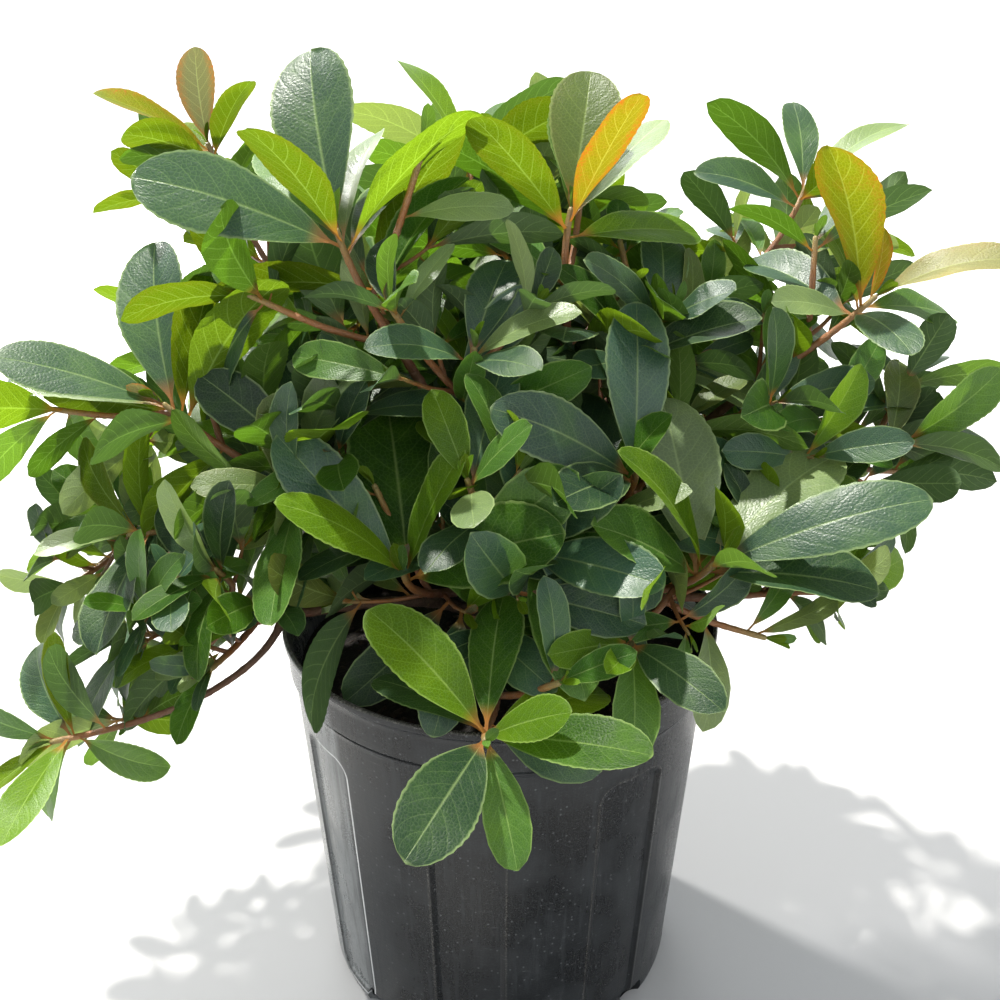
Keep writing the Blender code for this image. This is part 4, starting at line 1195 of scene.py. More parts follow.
def grow_twigs():
    rng = random.Random(23)
    shoots = []
    tips = []
    for name, limb in BOUGHS.items():
        line = limb["line"]
        stem = cut_line(line, limb["entry"] + GAP / line_length(line), 1.0, STEM_SPANS)
        radii = [limb["entry_radius"] + (TIP_RADIUS - limb["entry_radius"]) * i / STEM_SPANS
                 for i in range(STEM_SPANS + 1)]
        shoots.append({"mass": name, "line": stem, "radii": radii, "axis": limb["axis"],
                       "length": limb["length"], "leaves": limb["leaves"], "spin": limb["spin"],
                       "kind": limb["kind"], "main": True, "rank": 0})
        tips.append(line[-1])
        verts, faces = tube(stem, radii, TWIG_SIDES, along_line(line, limb["entry"])[1])
        add_obstacle("twig of " + name, verts, faces)
    stems = {shoot["mass"]: shoot for shoot in shoots}
    for mass, share, heart, axis, length, leaves, spin in SIDE_SHOOTS:
        at, _ = along_line(stems[mass]["line"], share)
        tip = Vector(heart) * CM + unit(*axis) * (0.5 * ROSETTE_RUN * length * CM)
        line = curve_points(at, (tip - at).normalized(), tip, unit(*axis), 3, SIDE_SWAY)
        shoots.append(twig_shoot(mass, line, unit(*axis), length * CM, leaves, math.radians(spin),
                                 BOUGHS[mass]["kind"], 1))
        tips.append(tip)
    for name, limb in BOUGHS.items():
        stem = stems[name]["line"]
        for k in range(limb["twigs"]):
            share = twig_place(rng, TWIG_PLACES, k)
            sprout(shoots, tips, rng, name, stem, share, (limb["length"], *TWIG_REACH),
                   limb["length"] * TWIG_LEAF, 6 if limb["leaves"] < 9 else 7, limb["kind"], 1,
                   stem[-1].y + 5 * MM if name in STAR_LEAVES else None)
    return shoots, tips


SHOOTS_GROWN, TIPS = grow_twigs()
print("shoots:", len(SHOOTS_GROWN))

# %% [markdown]
# Leaves by rule. A leaf is tried as a thin folded blade. Where it would touch another it is raised, swung
# or shortened a little, and where no try clears it is left out, as on a real plant.


# %% Leaves by rule
# A solid blade is widest at its waist and cut off short at its shoulder. Width and thickness are shares of
# the leaf's length, and the others are shares of the blade.
LEAF_WIDTH = 0.39
LEAF_WAIST = 0.56
LEAF_SHOULDER = 0.94
SHOULDER_WIDTH = 0.52
LEAF_THICKNESS = 0.016
THINNEST_LEAF = 0.7 * MM
LEAF_DROOP = 0.36
DROOP_RANGE = (0.5, 1.3)
WIDTH_RANGE = (0.92, 1.1)
# How strongly a blade's face is drawn up, out from the trunk, and to the front where it stands out
FRONT = Vector((0.0, -0.8, 0.6))
UP_AIM = 0.35
OUT_AIM = 0.4
FRONT_AIM = 0.9
# Whorl: the leaves turn by the golden angle and open from flat below to steep at its heart
GOLDEN_TURN = math.radians(137.5)
TURN_STRAY = 0.12
OPENING = 80
CLOSING = 46
OPENING_STRAY = 7
SIZE_RANGE = (0.93, 1.05)
LEAF_LIFT = 0.1
STAR_ROOM = 0.5
# Leaves below the whorl: their first place and the step to the next in leaf lengths, the least place
LOWER_START = 0.30
LOWER_STEP = 0.34
LEAST_PLACE = 0.12
LOWER_STRAY = 0.2
LOWER_OPENING = (62, 78)
LOWER_SIZES = (0.72, 0.88)
# Room for leaves
BLADE_SHARE = 0.3
BLADE_REACH = 0.62
CLEARANCE = 0.5 * MM
SPACE_RADIUS = 155 * MM
LOWEST_LEAF = 118 * MM


def leaf_solid(leaf, grow=0.0, root_share=0.0):
    base = leaf["base"]
    d = leaf["way"]
    n = leaf["up"]
    across = n.cross(d)
    length = leaf["length"] + grow
    half = leaf["width"] * leaf["length"] / 2 + grow
    thick = max(LEAF_THICKNESS * leaf["length"], THINNEST_LEAF) + grow

    def at(x, y, z):
        sag = leaf["bend"] * x * x / 2
        return base + d * (x * length) + across * (y * half) + n * (z - sag * length)

    root_drop = leaf["bend"] * root_share * (root_share - LEAF_WAIST) / 2 * length
    verts = [
        at(root_share, 0.0, root_drop),
        at(LEAF_WAIST, 1.0, grow),
        at(LEAF_WAIST, -1.0, grow),
        at(LEAF_SHOULDER, SHOULDER_WIDTH, grow / 2),
        at(LEAF_SHOULDER, -SHOULDER_WIDTH, grow / 2),
        at(LEAF_WAIST, 0.0, -thick),
    ]
    faces = [(0, 2, 1), (2, 4, 3), (2, 3, 1), (0, 1, 5), (0, 5, 2), (5, 1, 3), (5, 3, 4), (5, 4, 2)]
    return verts, faces


def make_leaf(shoot, axis, chord, length, rng, place, at=None, tint=None, turn=None, breadth=1.0,
              stretch=1.05):
    bend = LEAF_DROOP * rng.uniform(*DROOP_RANGE)
    if at is None:
        run = ROSETTE_RUN * shoot["length"]
        total = line_length(shoot["line"])
        low = min(1.0, max(0.0, (math.degrees(axis.angle(chord)) - 18) / 75))
        at, _ = along_line(shoot["line"], 1 - (run * low + 1.0 * MM) / total)
    facing = (axis - chord * axis.dot(chord)).normalized()
    out = Vector((at.x, at.y, 0)).normalized()
    front = FRONT * (FRONT_AIM if facing.dot(FRONT) > 0 else -FRONT_AIM)
    facing = facing + UP * UP_AIM + (front if place == "star" else out * OUT_AIM)
    facing = (facing - chord * facing.dot(chord)).normalized()
    way = (chord + facing * (bend / 2)).normalized()
    facing = (facing - way * facing.dot(way)).normalized()
    return {"mass": shoot["mass"], "base": at, "way": way, "up": facing, "length": length,
            "width": LEAF_WIDTH * rng.uniform(*WIDTH_RANGE), "bend": bend, "place": place,
            "tint": tint, "kind": shoot["kind"], "rank": shoot["rank"], "open": turn,
            "breadth": breadth, "stretch": stretch}


def whorl_size(share):
    """Leaf size from the lowest leaf of a whorl, at 0, to its heart, at 1. It is largest near the middle."""
    return 0.86 + 0.30 * share if share < 0.45 else 1.0 - 0.55 * (share - 0.45)


def shoot_leaves(shoot, rng):
    leaves = []
    line = shoot["line"]
    axis = shoot["axis"]
    side = UP - axis * UP.dot(axis)
    side = side.normalized() if side.length > 0.05 else Vector((1, 0, 0))
    other = axis.cross(side)
    stars = STAR_LEAVES.get(shoot["mass"], []) if shoot["main"] else []
    for azimuth, rise, length, tint, turn, breadth, *stretch in stars:
        leaves.append(make_leaf(shoot, axis, unit(azimuth, rise), length * CM, rng, "star", None, tint,
                                turn, breadth, *stretch))
    count = shoot["leaves"]
    for k in range(count):
        f = k / (count - 1)
        turn = shoot["spin"] + k * GOLDEN_TURN + rng.uniform(-TURN_STRAY, TURN_STRAY)
        opening = math.radians(OPENING - CLOSING * f + rng.uniform(-OPENING_STRAY, OPENING_STRAY))
        size = whorl_size(f) * rng.uniform(*SIZE_RANGE)
        radial = side * math.cos(turn) + other * math.sin(turn)
        way = (axis * math.cos(opening) + radial * math.sin(opening) + UP * LEAF_LIFT).normalized()
        if all(way.angle(star["way"]) > STAR_ROOM for star in leaves[:len(stars)]):
            leaves.append(make_leaf(shoot, axis, way, shoot["length"] * size, rng, "ring"))
    for k in range(2 if shoot["main"] else 1):
        share = 1 - (ROSETTE_RUN + LOWER_START + LOWER_STEP * k) * shoot["length"] / line_length(line)
        if share < LEAST_PLACE:
            continue
        at, way = along_line(line, share)
        turn = shoot["spin"] + (count + k) * GOLDEN_TURN + rng.uniform(-LOWER_STRAY, LOWER_STRAY)
        first = (side - way * side.dot(way)).normalized()
        radial = first * math.cos(turn) + way.cross(first) * math.sin(turn)
        opening = math.radians(rng.uniform(*LOWER_OPENING))
        out = way * math.cos(opening) + radial * math.sin(opening) + UP * LEAF_LIFT
        length = shoot["length"] * rng.uniform(*LOWER_SIZES)
        leaves.append(make_leaf(shoot, way, out.normalized(), length, rng, "lower", at))
    return leaves


# Small turns tried in order until a leaf clears everything: raise, swing and size
STAR_TRIES = [(0, 0, 1.0), (5, 0, 1.0), (-5, 0, 1.0), (0, 6, 1.0), (0, -6, 1.0), (8, 6, 1.0), (8, -6, 1.0),
              (-8, 6, 1.0), (-8, -6, 1.0), (0, 12, 1.0), (0, -12, 1.0), (12, 10, 1.0), (12, -10, 1.0),
              (-12, 10, 0.95), (-12, -10, 0.95), (0, 16, 0.9), (0, -16, 0.9), (0, 0, 0.8)]
TRIES = [(0, 0, 1.0), (8, 0, 1.0), (-8, 0, 1.0), (0, 12, 1.0), (0, -12, 1.0), (14, 8, 0.92),
         (-14, -8, 0.92), (10, -16, 0.85), (-10, 16, 0.85), (0, 0, 0.75), (18, 0, 0.7)]


def tilted(leaf, rise, swing, size):
    across = leaf["up"].cross(leaf["way"])
    a = math.radians(rise)
    b = math.radians(swing)
    way = leaf["way"] * math.cos(a) + leaf["up"] * math.sin(a)
    way = (way * math.cos(b) + across * math.sin(b)).normalized()
    facing = (leaf["up"] - way * leaf["up"].dot(way)).normalized()
    other = dict(leaf)
    other["way"] = way
    other["up"] = facing
    other["length"] = leaf["length"] * size
    return other


def fits(leaf, heart, trees, clearance):
    tip = leaf["base"] + leaf["way"] * leaf["length"]
    if (tip - heart).length > SPACE_RADIUS or tip.z < LOWEST_LEAF:
        return False
    verts, faces = leaf_solid(leaf, clearance)
    blade, _ = leaf_solid(leaf, clearance, BLADE_SHARE)
    mass = leaf["mass"]
    if touches(verts, faces, {"twig of " + mass}):
        return False
    if touches(blade, faces, {owner for owner, _, _, _ in OBSTACLES if owner != "twig of " + mass}):
        return False
    centre = leaf["base"] + leaf["way"] * leaf["length"] * 0.5
    reach = leaf["length"] * BLADE_REACH
    whole = None
    part = None
    for owner, full, outer, middle, radius in trees:
        if (middle - centre).length > radius + reach:
            continue
        if owner == mass:
            if part is None:
                part = tree_of(blade, faces)
            if part.overlap(outer):
                return False
        else:
            if whole is None:
                whole = tree_of(verts, faces)
            if whole.overlap(full):
                return False
    return True


def place_leaves(wanted, hearts, trees, clearance):
    placed = []
    for place in ("star", "ring", "lower"):
        for leaf in [item for item in wanted if item["place"] == place]:
            for rise, swing, size in (STAR_TRIES if place == "star" else TRIES):
                trial = tilted(leaf, rise, swing, size)
                if fits(trial, hearts[trial["mass"]], trees, clearance):
                    verts, faces = leaf_solid(trial)
                    blade, _ = leaf_solid(trial, 0.0, BLADE_SHARE)
                    centre = trial["base"] + trial["way"] * trial["length"] * 0.5
                    trees.append((trial["mass"], tree_of(verts, faces), tree_of(blade, faces), centre,
                                  trial["length"] * BLADE_REACH))
                    placed.append(trial)
                    break
    return placed


HEARTS = {name: along_line(limb["line"], 0.5 * (1 + limb["entry"]))[0] for name, limb in BOUGHS.items()}
LEAF_TREES = []
leaf_rng = random.Random(41)
wanted = [leaf for shoot in SHOOTS_GROWN for leaf in shoot_leaves(shoot, leaf_rng)]
LEAVES = place_leaves(wanted, HEARTS, LEAF_TREES, CLEARANCE)
print("leaves of the solid crown:", len(LEAVES))

# %% [markdown]
# The leaves that stand out and some bare stems are seen in full from the front. Points on them are the
# sights, and any other leaf that a line from the camera to a sight goes through is left out.

# %% Keep what stands out in sight
VIEW_POINT = camera.location.copy()
DRAWN_SIZE = 1.15
STEM_SIGHT_STEP = 0.06
# Stems that are seen from the front, with the part of each that is
SEEN_STEMS = {"left_low": (0.06, 0.42), "crown_left": (0.46, 0.96), "crown_right": (0.66, 0.96),
              "right": (0.80, 0.96), "left": (0.72, 0.96)}


def open_points(leaf):
    across = leaf["up"].cross(leaf["way"]) * (leaf["width"] * leaf["length"] / 2)
    points = []
    for x in (0.3, 0.45, 0.6, 0.75, 0.9):
        sag = leaf["up"] * (leaf["bend"] * x * x / 2 * leaf["length"])
        middle = leaf["base"] + leaf["way"] * (x * leaf["length"]) - sag
        points += [middle, middle + across * 0.5, middle - across * 0.5]
    return points


SIGHTS = [(leaf, point) for leaf in LEAVES if leaf["place"] == "star" for point in open_points(leaf)]
for name, (start, end) in SEEN_STEMS.items():
    count = round((end - start) / STEM_SIGHT_STEP)
    SIGHTS += [(BOUGHS[name], point) for point in cut_line(BOUGHS[name]["line"], start, end, count)]


def in_the_way(leaf):
    """Whether the leaf hides a point of what stands out, seen from the front."""
    drawn = dict(leaf)
    drawn["length"] = leaf["length"] * DRAWN_SIZE
    verts, faces = leaf_solid(drawn)
    middle, reach = ball_round(verts)
    tree = None
    for owner, point in SIGHTS:
        way = point - VIEW_POINT
        far = way.length
        way /= far
        along = (middle - VIEW_POINT).dot(way)
        if owner is leaf or along > far or (VIEW_POINT + way * along - middle).length > reach:
            continue
        if tree is None:
            tree = tree_of(verts, faces)
        if tree.ray_cast(VIEW_POINT, way, far - 3 * MM)[0] is not None:
            return True
    return False


before = len(LEAVES)
LEAVES = [leaf for leaf in LEAVES if leaf["place"] == "star" or not in_the_way(leaf)]
print("leaves kept from the solid crown:", len(LEAVES), "of", before)

# %% [markdown]
# The rule goes on: every shoot sends out thinner side twigs with smaller leaves, which fill the heart of
# the crown as on the real plant. They keep within the reach of the solid crown.

# %% Finer twigs
FINE_PER_SHOOT = 3
FINE_PLACES = (0.10, 0.24, 0.08)
FINE_REACH = (0.50, 0.68)
FINE_LEAF = 0.92
INNER_PER_BOUGH = 3
INNER_PLACES = (0.34, 0.24, 0.1)
INNER_REACH = (0.55, 0.8)
INNER_LEAF = 0.85
# Boughs whose bare wood shows, so that no twigs grow on it
BARE_BOUGHS = ("crown", "far", "left")


def grow_inner_twigs(tips):
    """Short leafy twigs on the older wood of each bough."""
    rng = random.Random(59)
    grown = []
    for name, limb in BOUGHS.items():
        if name.startswith(BARE_BOUGHS):
            continue
        for k in range(INNER_PER_BOUGH):
            share = limb["entry"] * twig_place(rng, INNER_PLACES, k)
            sprout(grown, tips, rng, name, limb["line"], share, (limb["length"], *INNER_REACH),
                   limb["length"] * INNER_LEAF, 6, "dark", 2, None, {"bough_" + name})
    return grown


def grow_fine_twigs(tips):
    rng = random.Random(61)
    grown = []
    for shoot in SHOOTS_GROWN:
        stands_out = shoot["mass"] in STAR_LEAVES
        for k in range(1 if stands_out else FINE_PER_SHOOT):
            share = twig_place(rng, FINE_PLACES, k)
            sprout(grown, tips, rng, shoot["mass"], shoot["line"], share, (shoot["length"], *FINE_REACH),
                   shoot["length"] * FINE_LEAF, 5, shoot["kind"], 2,
                   shoot["line"][-1].y - 5 * MM if stands_out else None)
    return grown


FINE_SHOOTS = grow_inner_twigs(TIPS)
print("inner twigs:", len(FINE_SHOOTS))
FINE_SHOOTS += grow_fine_twigs(TIPS)
fine_rng = random.Random(67)
fine_wanted = [leaf for shoot in FINE_SHOOTS for leaf in shoot_leaves(shoot, fine_rng)]
fine_wanted = [leaf for leaf in fine_wanted if inside_reach(leaf["base"] + leaf["way"] * leaf["length"])]
fine_wanted = [leaf for leaf in fine_wanted if not in_the_way(leaf)]
FINE_LEAVES = place_leaves(fine_wanted, HEARTS, LEAF_TREES, 0.0)
print("finer twigs:", len(FINE_SHOOTS), "their leaves:", len(FINE_LEAVES), "of", len(fine_wanted))

# %% [markdown]
# Leaf pattern. Each leaf carries its own map: across it from margin to margin, and along it from root to
# tip. From that map the group draws the midrib, the side veins that sweep forward, the fine net between
# them, the pale rim and the reddish stalk. The pale rim is partly the leaf's own thickened margin and
# partly a painted highlight along the edge. Because the map goes with the leaf, so do the veins.


# %% Leaf pattern group
PATTERN_MASKS = ("Midrib", "Veins", "Net", "Rim", "Margin", "Stalk", "Height")
PATTERN_SCALES = {"Side Veins": 9.0, "Net Scale": 44.0}


def leaf_group():
    group, given = new_group("leaf_pattern", PATTERN_SCALES, PATTERN_MASKS)
    u, along, _ = parts(signal(group, "ShaderNodeUVMap", "UV", uv_map="leaf_map"))
    across = abs(u * 2.0 - 1.0)
    midrib = (1.0 - across / smooth(along, 0.1, 1.0, 0.085, 0.03)).clamped()
    rows = along * given["Side Veins"] + u.maths("GREATER_THAN", 0.5) * 0.43
    near = abs((rows + 8.0 - across.maths("POWER", 1.25) * 2.1).maths("FRACT") - 0.5)
    veins = smooth(near, 0.065, 0.0) * smooth(across, 0.92, 0.70) * smooth(along, 0.14, 0.24)
    narrowed = signal(group, "ShaderNodeCombineXYZ", "Vector", {"X": u * 0.42, "Y": along})
    net_edge = cells(narrowed, given["Net Scale"], voronoi_dimensions="2D", feature="DISTANCE_TO_EDGE")
    net = smooth(net_edge, 0.15, 0.02) * smooth(along, 0.12, 0.2)
    # The pale rim: partly the leaf's own thickened margin, partly a painted highlight along the edge
    rim = smooth(across, 0.90, 0.975).maths("MAXIMUM", smooth(along, 0.982, 0.998))
    margin = smooth(across, 0.45, 1.0)
    stalk = smooth(along, 0.22, 0.07)
    height = 1.0 - smooth(near, 0.22, 0.0) * 0.30 - midrib * 0.6 + smooth(net_edge, 0.0, 0.40) * 0.26
    return close_group(group, dict(zip(PATTERN_MASKS, (midrib, veins, net, rim, margin, stalk, height))))


LEAF_PATTERN = leaf_group()
print("leaf pattern:", len(LEAF_PATTERN.nodes), "nodes")

# %% [markdown]
# Leaf tints. Old leaves are deep blue-green with a satin skin, young ones yellow-green, and the newest
# carry gold and bronze. Light passes through a blade and comes out yellower, so each material mixes a
# Translucent shader with the skin. The underside is paler and duller, read from which side faces out.

# %% Leaf materials
# Two tints stand in for light: pale is a painted sunlit sheen, and the darkest green is painted shade.
# Tint: upper colour, underside, light let through, share let through, roughness, gloss, red-gold flush
TINTS = {
    # Painted shade: a darker copy of the deep green for leaves that sit in shade
    "ink": ((0.010, 0.030, 0.014), (0.055, 0.092, 0.040), (0.05, 0.12, 0.008), 0.16, 0.42, 0.26, 0.0),
    "moss": ((0.017, 0.056, 0.005), (0.055, 0.100, 0.016), (0.09, 0.21, 0.004), 0.26, 0.42, 0.11, 0.0),
    "deep": ((0.021, 0.056, 0.033), (0.072, 0.115, 0.048), (0.08, 0.18, 0.010), 0.20, 0.40, 0.40, 0.0),
    "green": ((0.038, 0.100, 0.014), (0.080, 0.140, 0.028), (0.13, 0.27, 0.006), 0.26, 0.42, 0.28, 0.0),
    "fresh": ((0.062, 0.138, 0.004), (0.096, 0.165, 0.010), (0.17, 0.29, 0.004), 0.34, 0.42, 0.14, 0.0),
    "lime": ((0.054, 0.102, 0.002), (0.066, 0.113, 0.003), (0.105, 0.175, 0.0015), 0.36, 0.44, 0.05, 0.06),
    "olive": ((0.056, 0.092, 0.018), (0.085, 0.115, 0.026), (0.13, 0.17, 0.010), 0.26, 0.44, 0.32, 0.05),
    # Painted sheen: a paler, greyer copy of leaf green for leaves that catch the sun
    "pale": ((0.130, 0.195, 0.075), (0.175, 0.235, 0.105), (0.24, 0.33, 0.05), 0.28, 0.38, 0.50, 0.0),
    "gold": ((0.150, 0.125, 0.003), (0.180, 0.150, 0.005), (0.25, 0.22, 0.003), 0.34, 0.44, 0.10, 0.75),
    "amber": ((0.120, 0.146, 0.003), (0.142, 0.165, 0.006), (0.21, 0.25, 0.003), 0.36, 0.44, 0.10, 0.45),
    "straw": ((0.200, 0.198, 0.075), (0.195, 0.192, 0.075), (0.34, 0.33, 0.09), 0.28, 0.46, 0.35, 0.15),
    "bronze": ((0.088, 0.082, 0.046), (0.102, 0.092, 0.052), (0.17, 0.18, 0.05), 0.28, 0.42, 0.45, 0.60),
}
VEIN_TINT = (0.52, 0.68, 0.24)
STALK_TINT = (0.34, 0.13, 0.035)
LEAF_DUST = (0.42, 0.44, 0.40)
FLUSH_TINT = (0.26, 0.075, 0.012)
FLUSH_GLOW = (0.50, 0.14, 0.010)
STALK_GLOW = (0.55, 0.20, 0.04)


def leaf_material(name, upper, under, through, share, roughness, gloss, flush):
    mat, tree, shader = new_material("leaf_" + name)
    pattern = add(tree, "ShaderNodeGroup", PATTERN_SCALES, node_tree=LEAF_PATTERN)
    midrib, veins, net, rim, margin, stalk, height = [Signal(tree, output) for output in pattern.outputs]
    blotch, grain = dust(tree, 45.0, 700.0)
    shade = signal(tree, "ShaderNodeAttribute", "Fac", attribute_name="shade")
    backside = signal(tree, "ShaderNodeNewGeometry", "Backfacing")
    flushed = ((blotch * 0.5 + margin) * (grain + 0.5) * flush).clamped()
    pale = [0.72 * a + 0.28 * b for a, b in zip(under, VEIN_TINT)]
    # The pale rim laid on the top is in part a painted highlight.
    top = cover(blend(shade, [c * 0.72 for c in upper], [c * 1.32 for c in upper]), (blotch, 0.22, through),
                (net, 0.07, pale), (veins, 0.12, pale), (midrib, 0.6, pale), (rim, 0.6, pale))
    below = cover(under, (veins, 0.5, pale), (midrib, 0.9, pale))
    colour = cover(blend(backside, top, below), (stalk, 0.75, STALK_TINT), (grain, 0.025, LEAF_DUST))
    colour = blend(flushed, colour, FLUSH_TINT)
    finish_shader(shader, colour, smooth(blotch, 0.0, 1.0, roughness, roughness + 0.16) + backside * 0.25)
    shader.inputs["Specular IOR Level"].default_value = gloss
    normal = raise_relief(shader, height + grain * 0.3, 0.5, 0.35 * MM)
    lit_vein = [min(1.0, c * 2.0 + 0.03) for c in through]
    glow = cover(through, (net, 0.45, lit_vein), (veins, 0.55, lit_vein), (midrib, 0.6, lit_vein))
    glow = cover(blend(flushed, glow, FLUSH_GLOW), (stalk, 0.8, STALK_GLOW))
    lit = add(tree, "ShaderNodeBsdfTranslucent", {"Color": glow, "Normal": normal})
    mix = add(tree, "ShaderNodeMixShader", {0: share})
    tree.links.new(shader.outputs["BSDF"], mix.inputs[1])
    tree.links.new(lit.outputs["BSDF"], mix.inputs[2])
    tree.links.new(mix.outputs["Shader"], tree.nodes["Material Output"].inputs["Surface"])
    return mat


LEAF_MATERIALS = {name: leaf_material(name, *values) for name, values in TINTS.items()}
print("leaf materials:", len(LEAF_MATERIALS))

# %% [markdown]
# Each leaf that is not named gets its tint by its shoot: old, dark shoots draw mostly deep green, and
# fresh ones more yellow-green. Each also draws how it is folded, cupped, twisted and waved. The draw is
# seeded, so every run gives the same plant.

# %% Deal out the tints
# In these draws the darkest green is painted shade, and the pale tint is a painted sunlit sheen.
SHARES = {
    "dark": [("deep", 0.32), ("ink", 0.24), ("green", 0.14), ("moss", 0.12), ("fresh", 0.06), ("olive", 0.04),
             ("pale", 0.08)],
    "fresh": [("deep", 0.26), ("ink", 0.14), ("green", 0.16), ("moss", 0.12), ("fresh", 0.14), ("lime", 0.08),
              ("pale", 0.10)],
}
SHAPE_RANGES = {"fold": (0.22, 0.55), "cup": (-0.25, 0.05), "twist": (-0.22, 0.22), "wave": (0.0, 0.09),
                "phase": (0.0, 6.28), "side": (-0.07, 0.07), "hook": (0.0, 0.14)}
STRETCH_RANGE = (1.04, 1.36)
BREADTH_RANGE = (0.82, 1.02)
# Named leaves take only the darker part of the tone range, as painted shade
STAR_PAINTED_SHADE = 0.35
# Least share by which an unnamed leaf turns its face to the front
LEAST_OPEN = 0.62


def deal_tints(leaves, seed):
    rng = random.Random(seed)
    for leaf in leaves:
        draw = rng.random()
        if leaf["tint"] is None:
            total = 0.0
            for tint, share in SHARES[leaf["kind"]]:
                total += share
                if draw <= total or tint == "pale":
                    leaf["tint"] = tint
                    break
        leaf["shade"] = rng.random()
        for key, ends in SHAPE_RANGES.items():
            leaf[key] = rng.uniform(*ends)
        if leaf["place"] == "star":
            # Painted shade: the named leaves are drawn darker.
            leaf["shade"] *= STAR_PAINTED_SHADE
            continue
        leaf["stretch"] = rng.uniform(*STRETCH_RANGE)
        leaf["breadth"] = leaf["stretch"] * rng.uniform(*BREADTH_RANGE)
        to_view = (VIEW_POINT - leaf["base"]).normalized()
        across_view = (to_view - leaf["way"] * to_view.dot(leaf["way"])).normalized()
        share = leaf["up"].dot(across_view)
        if leaf["place"] != "young" and abs(share) < LEAST_OPEN:
            leaf["open"] = math.copysign(LEAST_OPEN, share)


deal_tints(LEAVES, 83)
deal_tints(FINE_LEAVES, 89)
print("tints dealt to", len(LEAVES) + len(FINE_LEAVES), "leaves")

# %% [markdown]
# The crown is open in some places, where the sky shows between the boughs or beside them. Each place is a
# window of the picture, and a leaf whose outer half falls in one is left out.

# %% Leave the sky open
# Windows: left, top, right and bottom as shares of the picture
OPEN_SKY = [
    (0.0, 0.0, 0.078, 0.318), (0.290, 0.0, 0.398, 0.088), (0.640, 0.0, 0.785, 0.108),
    (0.925, 0.495, 1.0, 1.0), (0.905, 0.560, 1.0, 1.0), (0.715, 0.655, 1.0, 1.0),
    (0.742, 0.590, 0.780, 0.655), (0.225, 0.635, 0.284, 1.0), (0.208, 0.672, 0.284, 1.0),
    (0.0, 0.590, 0.018, 0.700), (0.052, 0.556, 0.118, 0.584), (0.0, 0.498, 0.026, 0.548),
]
SKY_POINTS = (0.6, 1.15)


def in_open_sky(leaf):
    for share in SKY_POINTS:
        away = leaf["base"] + leaf["way"] * (share * leaf["length"]) - VIEW_POINT
        away -= leaf["up"] * (leaf["bend"] * share * share / 2 * leaf["length"])
        depth = away.y * math.cos(PITCH) - away.z * math.sin(PITCH)
        rise = away.y * math.sin(PITCH) + away.z * math.cos(PITCH)
        x = 0.5 + away.x / depth * LENS / SENSOR
        y = 0.5 - rise / depth * LENS / SENSOR
        if any(left < x < right and top < y < bottom for left, top, right, bottom in OPEN_SKY):
            return True
    return False


before = len(LEAVES) + len(FINE_LEAVES)
LEAVES = [leaf for leaf in LEAVES if leaf["place"] == "star" or not in_open_sky(leaf)]
FINE_LEAVES = [leaf for leaf in FINE_LEAVES if not in_open_sky(leaf)]
print("leaves left out of the open sky:", before - len(LEAVES) - len(FINE_LEAVES))

# %% [markdown]
# Last come the youngest leaves: two or three small upright ones at the heart of each whorl.

# %% Youngest leaves
YOUNG_TINTS = ("lime", "bronze", "fresh", "green", "green", "fresh")
YOUNG_SIZES = (0.14, 0.28)
YOUNG_OPENING = (6, 24)
YOUNG_BREADTH = 0.85

bud_rng = random.Random(97)
YOUNG = []
for shoot in SHOOTS_GROWN + FINE_SHOOTS:
    for k in range(3 if shoot["rank"] < 2 else 2):
        turn = bud_rng.uniform(0, 6.28)
        axis = shoot["axis"]
        side = axis.orthogonal().normalized()
        radial = side * math.cos(turn) + axis.cross(side) * math.sin(turn)
        opening = math.radians(bud_rng.uniform(*YOUNG_OPENING))
        chord = (axis * math.cos(opening) + radial * math.sin(opening)).normalized()
        length = shoot["length"] * bud_rng.uniform(*YOUNG_SIZES)
        leaf = make_leaf(shoot, axis, chord, length, bud_rng, "young", shoot["line"][-1] - axis * 1.0 * MM,
                         bud_rng.choice(YOUNG_TINTS))
        leaf["width"] *= YOUNG_BREADTH
        YOUNG.append(leaf)
deal_tints(YOUNG, 101)
counts = {tint: sum(leaf["tint"] == tint for leaf in LEAVES + FINE_LEAVES + YOUNG) for tint in TINTS}
print("leaves by tint:", counts)

# %% [markdown]
# The blade is a grid, worked out for all leaves of a tint at once with arrays. Its outline is narrow at
# the root, widest past the middle and blunt at the tip, with shallow teeth on the outer half. Each blade
# is folded along its midrib, cupped, waved at its margin, twisted and bent by its own small amounts.

# %% Leaf meshes
STALK_SHARE = 0.12
STALK_HALF = 0.75 * MM
OUTLINE_RISE = 1.02
OUTLINE_FALL = 0.53
TOOTH_START = 0.45
TOOTH_END = 0.985
TOOTH_DEPTH = 0.016
TIP_WIDTH = 0.04
WIDER = 1.07
RIPPLES = 11.0


def blade_outline(x):
    """Half width of the blade at a share of the leaf's length, where 1 is the widest."""
    s = np.clip((x - STALK_SHARE * 0.6) / (1 - STALK_SHARE * 0.6), 0.0, 1.0)
    widest = OUTLINE_RISE / (OUTLINE_RISE + OUTLINE_FALL)
    top = widest ** OUTLINE_RISE * (1 - widest) ** OUTLINE_FALL
    return s ** OUTLINE_RISE * (1 - s) ** OUTLINE_FALL / top


